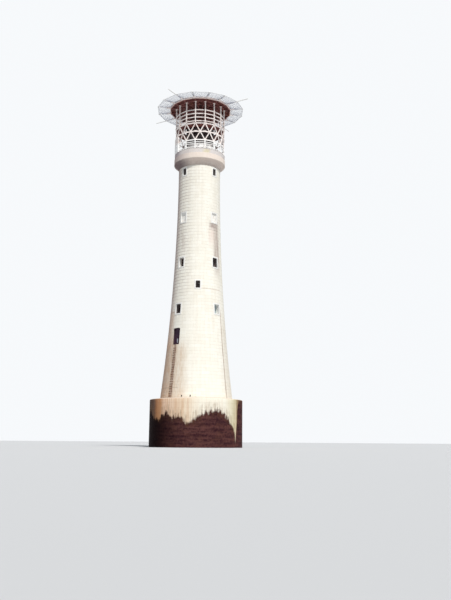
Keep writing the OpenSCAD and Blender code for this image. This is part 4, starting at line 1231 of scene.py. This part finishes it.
fittings = [hoop(VENT_R + 0.004, 0.006, (0, board_y - 0.012, vent_z))]
for rise in (-0.2, 0.03):
    z = middle + rise
    fittings.append(block((0.30, 0.006, 0.028), (STRAP_X, board_y - 0.015, z), 0.002))
    fittings.append(rod(0.010, 0.05, (KNUCKLE_X, board_y - 0.016, z), sides=10, soft=0.002))
    fittings += [rod(0.007, 0.008, (x, board_y - 0.020, z), TO_FRONT, 8) for x in BOLT_X]
settled(round_the_axis(joined(fittings), sides), "shutter_fittings", "white_steel")

# %% [markdown]
# ## The entrance doors
# Two leaves of riveted plate close the doorway. Each leaf gets mouldings round its sunk panels,
# rows of rivets, three strap hinges and a ring handle. What is on a leaf rides on that leaf, so it
# turns with it. The right leaf's pieces are mirrored copies, with their normals made right again.

# %% A leaf's moulding and rivets
leaf_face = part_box("door_leaf_left")[0].y
HINGE_X, LEAF_W, STILE = -0.3519, 0.3469, 0.045
leaf_low, leaf_high = entrance_z + 0.025, entrance_z + 1.1647
panel_w = LEAF_W - 2 * STILE
panel_h = (leaf_high - leaf_low - 3 * STILE) / 2
panel_x = HINGE_X + STILE + panel_w / 2
panel_z = [leaf_low + STILE + panel_h / 2 + i * (panel_h + STILE) for i in (0, 1)]

def moulding(width, tall, x, y, z):
    """A raised rim of one panel, from a plate that is inset and emptied."""
    rest()
    bpy.ops.mesh.primitive_plane_add(size=1, location=(x, y, z), rotation=TO_FRONT)
    obj = bpy.context.object
    obj.scale = (width, tall, 1)
    placed(obj)
    pick(obj, "polygons")
    bpy.ops.mesh.inset(thickness=0.018)
    bpy.ops.mesh.delete(type="FACE")
    rest()
    shaped(obj, "SOLIDIFY", thickness=0.008, offset=1.0)
    return eased(obj, 0.003, 34)

def rivet(x, y, z, radius=0.006):
    """A rivet's round head: half a ball, closed by its flat side."""
    rest()
    bpy.ops.mesh.primitive_uv_sphere_add(segments=8, ring_count=6, radius=radius,
                                         location=(x, y, z), rotation=TO_FRONT)
    obj = placed(bpy.context.object)
    pick(obj, "vertices")
    bpy.ops.mesh.bisect(plane_co=(x, y + 0.001, z), plane_no=(0, 1, 0), clear_outer=True,
                        use_fill=True)
    rest()
    return obj

print("a leaf's panels are", round(panel_w, 3), "by", round(panel_h, 3), "m")

# %% Dress the door leaves
STILE_RIVETS, STILE_PITCH, RAIL_RIVETS, RAIL_PITCH = 15, 0.077, 4, 0.066
STRAP_L, STRAP_W, STRAP_TAPER = 0.25, 0.036, 0.45
HANDLE_X, HANDLE_UP, HANDLE_R = 0.318, 0.56, 0.030

def strap_hinge(z):
    """A strap that grows narrower away from the hinge, with its four rivets."""
    strap = block((STRAP_L, 0.008, STRAP_W), (HINGE_X + STRAP_L / 2, leaf_face - 0.003, z))
    pick(strap, "vertices", lambda point: point.co.x > HINGE_X + 0.2)
    bpy.ops.transform.resize(value=(1, 1, STRAP_TAPER), center_override=(0, 0, z))
    rest()
    rivets = [rivet(HINGE_X + 0.03 + i * 0.06, leaf_face - 0.006, z, 0.007) for i in range(4)]
    return [eased(strap, 0.002)] + rivets

def leaf_dress():
    """All that is fixed to the left leaf."""
    work = [moulding(panel_w + 0.01, panel_h + 0.01, panel_x, leaf_face + 0.002, z)
            for z in panel_z]
    rivets = []
    for x in (HINGE_X + STILE / 2, HINGE_X + LEAF_W - STILE / 2):
        rivets += [(x, leaf_low + 0.03 + i * STILE_PITCH) for i in range(STILE_RIVETS)]
    for z in (leaf_low + STILE / 2, leaf_low + 1.5 * STILE + panel_h, leaf_high - STILE / 2):
        rivets += [(HINGE_X + STILE + 0.03 + i * RAIL_PITCH, z) for i in range(RAIL_RIVETS)]
    work += [rivet(x, leaf_face, z) for x, z in rivets]
    for z in (leaf_low + 0.14, (leaf_low + leaf_high) / 2, leaf_high - 0.20):
        work += strap_hinge(z)
    x, z = HINGE_X + HANDLE_X, leaf_low + HANDLE_UP
    work.append(rod(0.020, 0.010, (x, leaf_face - 0.004, z), TO_FRONT, 16, 0.003))
    work.append(hoop(HANDLE_R, 0.005, (x, leaf_face - 0.014, z - 0.028)))
    return joined(work)

left_dress = leaf_dress()
right_dress = copied(left_dress)
right_dress.scale = (-1, 1, 1)
placed(right_dress)
pick(right_dress, "polygons")
bpy.ops.mesh.normals_make_consistent(inside=False)
rest()
settled(left_dress, "left_leaf_ironwork", "door_metal", "left_leaf")
settled(right_dress, "right_leaf_ironwork", "door_metal", "right_leaf")

# %% [markdown]
# ## The climbing irons
# A row of round iron staples leads up to the doorway. One staple is drawn as a real one is bent:
# a small circle is extruded out of the wall, spun through a quarter turn, extruded along the wall,
# and spun back. It ends in two plates with bolts. The copies follow the wall's batter.

# %% Bend the climbing irons
RUNG_W, RUNG_REACH, IRON_R, BEND_R = 0.20, 0.08, 0.010, 0.03
RUNGS, RUNG_PITCH, IN_THE_WALL = 21, 0.16, 0.02

def climbing_iron():
    """One staple with its plates, the wall's face at y = 0."""
    half = RUNG_W / 2 - IRON_R
    out = RUNG_REACH - IRON_R - BEND_R
    rest()
    bpy.ops.mesh.primitive_circle_add(vertices=8, radius=IRON_R, location=(-half, IN_THE_WALL, 0),
                                      rotation=TO_FRONT, fill_type="NOTHING")
    obj = placed(bpy.context.object)
    pick(obj, "vertices")
    pushed((0, -out - IN_THE_WALL, 0))
    bpy.ops.mesh.spin(steps=4, angle=-QUARTER, center=(-half + BEND_R, -out, 0), axis=(0, 0, 1))
    pushed((2 * (half - BEND_R), 0, 0))
    bpy.ops.mesh.spin(steps=4, angle=-QUARTER, center=(half - BEND_R, -out, 0), axis=(0, 0, 1))
    pushed((0, out + IN_THE_WALL, 0))
    ends_closed()
    parts = [obj]
    for x in (-half, half):
        parts.append(block((0.05, 0.014, 0.07), (x, 0.0, 0), 0.002))
        parts += [rod(0.006, 0.008, (x, -0.009, z), TO_FRONT, 6) for z in (-0.024, 0.024)]
    return joined(parts)

rung_z = [foot_z + number * RUNG_PITCH for number in range(1, RUNGS + 1)]
irons = spread(climbing_iron(), [(0, -(face_radius(z) + 0.005), z) for z in rung_z])
settled(irons, "climbing_irons", "rusted_iron", instead_of=("ladder_rungs",))

# %% [markdown]
# ## Joints of the cage
# The cage is bolted steel. Where bars meet, flat node plates with hexagon bolts cover the joint.
# A plate starts as an eight-sided disc, which is inset and drawn out a little to a raised middle.
# Small angles clip the rails and the louvres to the posts. The posts stand on foot plates with
# four bolts and end under the deck in head plates.

# %% Measure the cage
BAY = math.radians(360 / BAYS)
CAGE_R, CHORD_W, LATTICE_T, POST_W = 1.76, 0.075, 0.05, 0.07
RAIL_RISES, LOUVRES, LOUVRE_UP, LOUVRE_PITCH = (0.115, 0.350, 0.475), 4, 0.165, 0.278
post_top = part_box("cage_posts")[1].z
lattice_low, lattice_high = (corner.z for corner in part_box("cage_lattice"))
kerb_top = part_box("gallery_kerb")[1].z
bay_y = CAGE_R * math.cos(BAY / 2)
bay_half = CAGE_R * math.sin(BAY / 2)
chord_z = [lattice_low + CHORD_W / 2, (lattice_low + lattice_high) / 2, lattice_high - CHORD_W / 2]
lattice_face = bay_y + LATTICE_T / 2
rail_z = [kerb_top + rise for rise in RAIL_RISES]
louvre_z = [chord_z[2] + LOUVRE_UP + i * LOUVRE_PITCH for i in range(LOUVRES)]
print("chords at", [round(z, 3) for z in chord_z], "m; a bay is", round(2 * bay_half, 3), "m wide")

# %% Make the node plates of the lattice
NODE_R, NODE_BOLTS, NODE_T = 0.085, 6, 0.010

def bolt(radius=0.008, turn=TO_FRONT):
    """A hexagon bolt head with eased corners on a round washer, at the origin."""
    head = rod(radius, 0.011, (0, 0, 0.0035), sides=6)
    pick(head, "polygons", lambda face: face.normal.z > 0.9)
    bpy.ops.mesh.inset(thickness=radius * 0.22)
    bpy.ops.transform.translate(value=(0, 0, 0.0015))
    rest()
    whole = joined([head, rod(radius * 1.5, 0.004, (0, 0, 0), sides=10)])
    whole.rotation_euler = turn
    return placed(whole)

def node_plate(z):
    """A plate over the middle joint of a bay, with its ring of bolts."""
    plate = rod(NODE_R, NODE_T, (0, -lattice_face - 0.004, z), TO_FRONT, 8)
    pick(plate, "vertices")
    bpy.ops.transform.rotate(value=math.pi / 8, orient_axis="Y",
                             center_override=(0, -lattice_face, z))
    rest()
    pick(plate, "polygons", lambda face: face.normal.y < -0.9)
    bpy.ops.mesh.inset(thickness=0.008)
    bpy.ops.transform.translate(value=(0, -0.003, 0))
    rest()
    turns = [2 * math.pi * number / NODE_BOLTS for number in range(NODE_BOLTS)]
    ring = [(0.62 * NODE_R * math.cos(turn), -lattice_face - 0.014,
             z + 0.62 * NODE_R * math.sin(turn)) for turn in turns]
    return joined([plate, spread(bolt(), ring)])

def strap_plate(side, z):
    """A plate over the end of a chord, with four bolts."""
    middle = side * (bay_half - 0.052)
    spots = [(middle + x, -lattice_face - 0.011, z + rise)
             for x in (-0.03, 0.03) for rise in (-0.036, 0.036)]
    return joined([block((0.10, NODE_T, CHORD_W * 1.5), (middle, -lattice_face - 0.004, z), 0.002),
                   spread(bolt(), spots)])

plates = [node_plate(chord_z[1])]
plates += [strap_plate(side, z) for z in chord_z for side in (-1, 1)]
settled(round_the_axis(joined(plates), bay_angles), "lattice_node_plates", "white_steel")

# %% Clip the rails and louvres to their posts
BAR_T = 0.04

def clips(heights, tall):
    """An angle with one bolt at both ends of each bar of a bay."""
    reach = bay_half - POST_W / 2 - 0.03
    face = bay_y + BAR_T / 2
    clip = block((0.05, 0.008, tall), (0, -face - 0.003, 0), 0.0015)
    clip = joined([clip, spread(bolt(0.006), [(0, -face - 0.009, 0)])])
    return spread(clip, [(side * reach, 0, z) for side in (-1, 1) for z in heights])

clipped = joined([clips(rail_z, 0.034), clips(louvre_z, 0.052)])
settled(round_the_axis(clipped, bay_angles), "rail_clips", "white_steel")

# %% Make the feet and heads of the posts
PLATE_T, FOOT_W, UPPER_FOOT_W, HEAD_W = 0.012, 0.138, 0.13, 0.15

def post_end(z, size, towards):
    """A square plate across a post, with four bolts that face up or down."""
    plate = block((size, size * 0.92, PLATE_T), (0, -CAGE_R, z), 0.002)
    spots = [(x * size * 0.38, -CAGE_R + y * size * 0.34, z + towards * 0.008)
             for x in (-1, 1) for y in (-1, 1)]
    facing = (0, 0, 0) if towards > 0 else (math.pi, 0, 0)
    return joined([plate, spread(bolt(0.008, facing), spots)])

def stiffener(z, towards):
    """A three-cornered rib between a post and its plate: a box with one end drawn in."""
    rib = block((0.008, 0.05, 0.08), (0, -CAGE_R - POST_W / 2 - 0.020, z + towards * 0.04))
    pick(rib, "vertices", lambda point: (point.co.z - z) * towards > 0.05)
    bpy.ops.transform.resize(value=(1, 0.15, 1), center_override=(0, -CAGE_R - POST_W / 2, z))
    rest()
    return rib

upper_foot = chord_z[2] + CHORD_W / 2
ends = [post_end(kerb_top + PLATE_T / 2, FOOT_W, 1),
        post_end(upper_foot + PLATE_T / 2, UPPER_FOOT_W, 1),
        post_end(post_top - PLATE_T / 2, HEAD_W, -1),
        stiffener(upper_foot + 0.01, 1), stiffener(post_top - 0.01, -1)]
settled(round_the_axis(joined(ends), corner_angles), "post_plates", "white_steel")

# %% [markdown]
# ## The gallery and the lantern's foot
# The wall under the lantern is of plates with flanges: a ring at its head and foot, one between
# them, and an upright seam strip with rivets at every second corner of the glazing. The kerb gets a
# rounded coping, spun round the axis in one go, and the white cabinet gets its doors, hinges and
# handle.

# %% Spin the rings of the gallery
FLANGE_H, FLANGE_OUT, SEAM_RIVETS = 0.05, 0.016, 10
murette_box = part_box("lantern_murette")
murette_r, murette_low, murette_high = murette_box[1].x, murette_box[0].z, murette_box[1].z
kerb_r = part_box("gallery_kerb")[1].x

def flange(low):
    """The outline of a ring with eased edges on the lantern's wall."""
    root, eased_r, full = murette_r - 0.004, murette_r + FLANGE_OUT * 0.7, murette_r + FLANGE_OUT
    high = low + FLANGE_H
    return [(root, low), (eased_r, low), (full, low + 0.006), (full, high - 0.006), (eased_r, high),
            (root, high)]

rings = [spun(flange(low))
         for low in (murette_low + 0.002, murette_low + 0.37, murette_high - 0.052)]
seam = block((0.05, 0.010, murette_high - murette_low - 0.1),
             (0, -murette_r, (murette_low + murette_high) / 2), 0.002)
rivets = spread(rivet(0, 0, 0, 0.005), [(x, -murette_r - 0.004, murette_low + 0.09 + i * 0.07)
                                       for x in (-0.015, 0.015) for i in range(SEAM_RIVETS)])
rings.append(round_the_axis(joined([seam, rivets]), corner_angles[::2]))
settled(joined(rings), "murette_flanges", "white_steel")

coping = [(kerb_r + out, kerb_top + rise) for out, rise in (
    (-0.150, -0.012), (0.002, -0.030), (0.010, -0.022), (0.010, -0.002), (0.002, 0.006),
    (-0.145, 0.006), (-0.153, -0.002))]
settled(spun(coping), "kerb_coping", "grey_kerb")

# %% Dress the cabinet
CABINET_W, CABINET_SIDE = 0.598, -22.5
cabinet_face = lattice_face + 0.0003 + 0.07
cabinet_low, cabinet_high = (corner.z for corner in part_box("gallery_cabinet"))
doors = []
for side in (-1, 1):
    middle = (side * CABINET_W / 4, -cabinet_face - 0.003, (cabinet_low + cabinet_high) / 2 - 0.06)
    door = block((CABINET_W / 2 - 0.016, 0.008, cabinet_high - cabinet_low - 0.19), middle)
    pick(door, "polygons", lambda face: face.normal.y < -0.9)
    bpy.ops.mesh.inset(thickness=0.035)
    bpy.ops.transform.translate(value=(0, 0.004, 0))
    rest()
    doors.append(eased(door, 0.0015, 28, 1))
    hinge_x = side * (CABINET_W / 2 - 0.010)
    doors += [rod(0.009, 0.06, (hinge_x, -cabinet_face - 0.006, cabinet_low + rise), sides=10,
                  soft=0.002) for rise in (0.2, 0.78)]
doors.append(rod(0.007, 0.10, (0.03, -cabinet_face - 0.020, cabinet_low + 0.52), sides=10,
                 soft=0.002))
doors += [rod(0.006, 0.018, (0.03, -cabinet_face - 0.012, cabinet_low + rise), TO_FRONT, 8)
          for rise in (0.48, 0.56)]
settled(turned(joined(doors), CABINET_SIDE), "cabinet_doors", "white_steel")

# %% [markdown]
# ## The lantern roof
# The dome is of plates that meet under sixteen ribs. One rib is a small rectangle at the eave, spun
# about the dome's own centre up to the ventilator. The eave has a rounded gutter ring.

# %% Spin the ribs of the roof
EAVE_R, DOME_R, DOME_H, VENT_FOOT_R = 1.06, 1.2832, 0.56, 0.135
RIB_W, RIB_T, GUTTER_R = 0.030, 0.020, 0.022
roof_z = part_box("lantern_roof")[0].z
dome_z = roof_z + DOME_H - DOME_R

def roof_rib():
    """One rib, spun from the eave to the ventilator's foot."""
    first = math.asin((EAVE_R - 0.006) / DOME_R)
    last = math.asin(VENT_FOOT_R / DOME_R)
    rest()
    bpy.ops.mesh.primitive_plane_add(size=1, location=(0, -DOME_R - 0.004, dome_z))
    obj = bpy.context.object
    obj.scale = (RIB_W, RIB_T, 1)
    placed(obj)
    pick(obj, "vertices")
    centre = (0, 0, dome_z)
    bpy.ops.transform.rotate(value=-(QUARTER - first), orient_axis="X", center_override=centre)
    bpy.ops.mesh.spin(steps=14, angle=-(first - last), center=centre, axis=(1, 0, 0))
    ends_closed()
    return obj

gutter = []
for number in range(10):
    turn = number * math.pi / 5
    gutter.append((EAVE_R - 0.004 + GUTTER_R * math.cos(turn),
                   roof_z + 0.018 + GUTTER_R * math.sin(turn)))
ribs = round_the_axis(roof_rib(), corner_angles)
settled(joined([ribs, spun(gutter)]), "roof_ribs", "roof_metal")

# %% [markdown]
# ## The lens and its frame
# The lens is a barrel of ribbed glass in an iron frame: a ring below and above, eight uprights, and
# a low cap. The rings and the cap are outlines spun round the axis.

# %% Frame the lens
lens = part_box("optic_lens")
lens_r, lens_low, lens_high = lens[1].x, lens[0].z, lens[1].z
foot_ring = [(lens_r + out, lens_low + rise) for out, rise in (
    (-0.04, -0.012), (0.030, -0.012), (0.034, 0.024), (0.022, 0.034), (-0.02, 0.034))]
cap = [(r, lens_high + rise) for r, rise in (
    (0, 0.14), (0.035, 0.135), (0.045, 0.10), (0.20, 0.07), (lens_r + 0.020, 0.022),
    (lens_r + 0.034, 0.010), (lens_r + 0.034, -0.020), (lens_r + 0.022, -0.026),
    (lens_r - 0.03, -0.026), (lens_r - 0.04, 0.002), (0, 0.002))]
upright_at = (0, -lens_r - 0.018, (lens_low + lens_high) / 2)
upright = rod(0.012, lens_high - lens_low, upright_at, sides=10)
settled(joined([spun(foot_ring, steps=48), spun(cap, closed=False, steps=48),
                round_the_axis(upright, [i * 45 for i in range(8)])]), "lens_frame", "dark_iron")

# %% [markdown]
# ## The edge of the deck
# A plate stands between the deck and each sleeve, held by four bolts, and a hinge pin goes through
# each sleeve, so that an arm could be let down. The white fascia has a lip along its top and its
# foot and a row of bolts. On every sleeve stands a small lamp: a glass dome on an iron collar.

# %% Dress the sleeves and the fascia
SLEEVE_END, PIN_R, FLANGE_R, FASCIA_HALF = 2.5026, 2.44, 2.232, 0.382
ACROSS_IT = (0, QUARTER, 0)
arm_z = sum(corner.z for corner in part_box("net_sleeves")) / 2
flange_bolts = [(x, -FLANGE_R - 0.009, arm_z + z) for x in (-0.062, 0.062) for z in (-0.036, 0.036)]
collar = block((0.096, 0.020, 0.096), (0, -SLEEVE_END + 0.004, arm_z), 0.003)
pin = [rod(0.009, 0.12, (0, -PIN_R, arm_z), ACROSS_IT, 10, 0.002)]
pin += [rod(0.017, 0.010, (side * 0.046, -PIN_R, arm_z), ACROSS_IT, 6, 0.002) for side in (-1, 1)]
fitting = [block((0.16, 0.012, 0.11), (0, -FLANGE_R, arm_z), 0.002),
           spread(bolt(0.009), flange_bolts), collar, joined(pin)]
settled(round_the_axis(joined(fitting), corner_angles), "sleeve_fittings", "white_steel")

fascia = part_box("deck_fascia")
fascia_face = fascia[1].y
strips = [block((2 * FASCIA_HALF - 0.004, 0.016, 0.012), (0, -fascia_face - 0.004, z), 0.003)
          for z in (fascia[0].z + 0.006, fascia[1].z - 0.006)]
bolt_spots = [(-0.31 + i * 0.124, -fascia_face - 0.003, arm_z + 0.02) for i in range(6)]
strips.append(spread(bolt(0.007), bolt_spots))
settled(round_the_axis(joined(strips), bay_angles), "fascia_lips", "white_steel")

# %% Dress the arms
COLLAR_AT, EYE_AT, LONG_REACH, SHORT_REACH = 2.89, 3.132, 4.0, 3.15

def arm_ends(reach):
    """The collar where an arm grows thicker, the eye for the rim cable, and the cap at its end."""
    return joined([rod(0.040, 0.030, (0, -COLLAR_AT, arm_z), TO_FRONT, 16, 0.006),
                   rod(0.042, 0.045, (0, -EYE_AT, arm_z), TO_FRONT, 16, 0.006),
                   rod(0.037, 0.016, (0, -reach, arm_z), TO_FRONT, 16, 0.004)])

long_corners = corner_angles[::4]
short_corners = [angle for angle in corner_angles if angle not in long_corners]
ends = [round_the_axis(arm_ends(LONG_REACH), long_corners),
        round_the_axis(arm_ends(SHORT_REACH), short_corners)]
settled(joined(ends), "arm_collars", "galvanised_steel")

# %% Make the deck lamps
LAMP_R, WIRE_R = 2.2626, 0.0262
lamp_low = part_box("deck_lights")[0].z

def spun_lamp_part(outline):
    """A small outline spun about the axis and moved to its sleeve."""
    return spread(spun(outline, closed=False, steps=16, crease=40), [(0, -LAMP_R, lamp_low)])

domes = spun_lamp_part([(0, 0.118), (0.010, 0.116), (0.019, 0.107), (0.0235, 0.092),
                        (0.0235, 0.045), (0.019, 0.040), (0, 0.040)])
settled(round_the_axis(domes, corner_angles), "deck_lamp_domes", "lamp_glass",
        instead_of=("deck_lights",))
collars = spun_lamp_part([(0, 0.048), (0.022, 0.048), (0.028, 0.044), (0.028, 0.022),
                          (0.022, 0.018), (0.030, 0.008), (0.030, 0.0), (0, 0.0)])
wire_spots = [(WIRE_R * math.cos(turn), -LAMP_R + WIRE_R * math.sin(turn), lamp_low + 0.082)
              for turn in (0.5, 2.1, 3.7, 5.3)]
wires = spread(rod(0.0018, 0.075, (0, 0, 0), sides=6), wire_spots)
settled(round_the_axis(joined([collars, wires]), corner_angles), "deck_lamp_collars", "dark_iron")

# %% [markdown]
# ## The safety net
# A net hangs in each bay between two arms, from the fascia to the rim cable. One panel starts as a
# grid. Its columns are lowered to a sag, its rows drawn out to the bay's width, and every face is
# poked, so that dissolving the first edges leaves diamonds. The Wireframe modifier turns the edges
# into cords. A thicker cord runs round the panel, and rings hold it to the arms.

# %% Knot the net
NEAR_Y, FAR_Y, NEAR_X, FAR_X = 2.192, 3.056, 0.386, 0.561
ACROSS, ALONG, SAG, CORD = 16, 13, 0.055, 0.0055

def net_mesh():
    """The cords of one panel, facing the doorway."""
    rest()
    middle = -(NEAR_Y + FAR_Y) / 2
    bpy.ops.mesh.primitive_grid_add(x_subdivisions=ACROSS, y_subdivisions=ALONG, size=1,
                                    location=(0, middle, arm_z))
    obj = bpy.context.object
    obj.scale = (2 * NEAR_X, FAR_Y - NEAR_Y, 1)
    placed(obj)
    for column in range(1, ACROSS):
        share = 2 * column / ACROSS - 1
        pick(obj, "vertices", lambda point: abs(point.co.x - share * NEAR_X) < 0.001)
        bpy.ops.transform.translate(value=(0, 0, -SAG * (1 - share ** 2)))
        rest()
    for row in range(ALONG + 1):
        share = row / ALONG
        y = -(NEAR_Y + share * (FAR_Y - NEAR_Y))
        pick(obj, "vertices", lambda point: abs(point.co.y - y) < 0.001)
        wider = 1 + share * (FAR_X / NEAR_X - 1)
        bpy.ops.transform.resize(value=(wider, 1, 1 - (2 * share - 1) ** 2),
                                 center_override=(0, y, arm_z))
        rest()
    first = len(obj.data.vertices)
    pick(obj, "polygons")
    bpy.ops.mesh.poke()
    rest()
    uses = {}
    for face in obj.data.polygons:
        for key in face.edge_keys:
            uses[key] = uses.get(key, 0) + 1
    pick(obj, "edges", lambda edge: max(edge.vertices) < first and uses[edge.key] == 2)
    bpy.ops.mesh.dissolve_edges(use_verts=False)
    rest()
    return shaped(obj, "WIREFRAME", thickness=CORD, offset=0.0, use_boundary=True,
                  use_even_offset=True)

def border_cord():
    """The thicker cord round one panel."""
    corners = [(-NEAR_X, -NEAR_Y), (NEAR_X, -NEAR_Y), (FAR_X, -FAR_Y), (-FAR_X, -FAR_Y)]
    cords = []
    for (x0, y0), (x1, y1) in zip(corners, corners[1:] + corners[:1]):
        turn = math.atan2(y1 - y0, x1 - x0)
        middle = ((x0 + x1) / 2, (y0 + y1) / 2, arm_z)
        cords.append(rod(CORD, math.hypot(x1 - x0, y1 - y0) + 0.006, middle, (0, QUARTER, turn), 8))
    return joined(cords)

net = joined([net_mesh(), border_cord()])
settled(round_the_axis(net, bay_angles), "safety_net", "net_cord", instead_of=("net_panels",))

# %% Tie the net to the arms
TIE_R, TIE_CORD, TIE_REACHES = 0.034, 0.004, (2.56, 2.64, 2.72, 2.80)
ties = spread(hoop(TIE_R, TIE_CORD, (0, 0, arm_z), 16, 5), [(0, -reach, 0) for reach in TIE_REACHES])
settled(round_the_axis(ties, corner_angles), "net_ties", "net_cord")
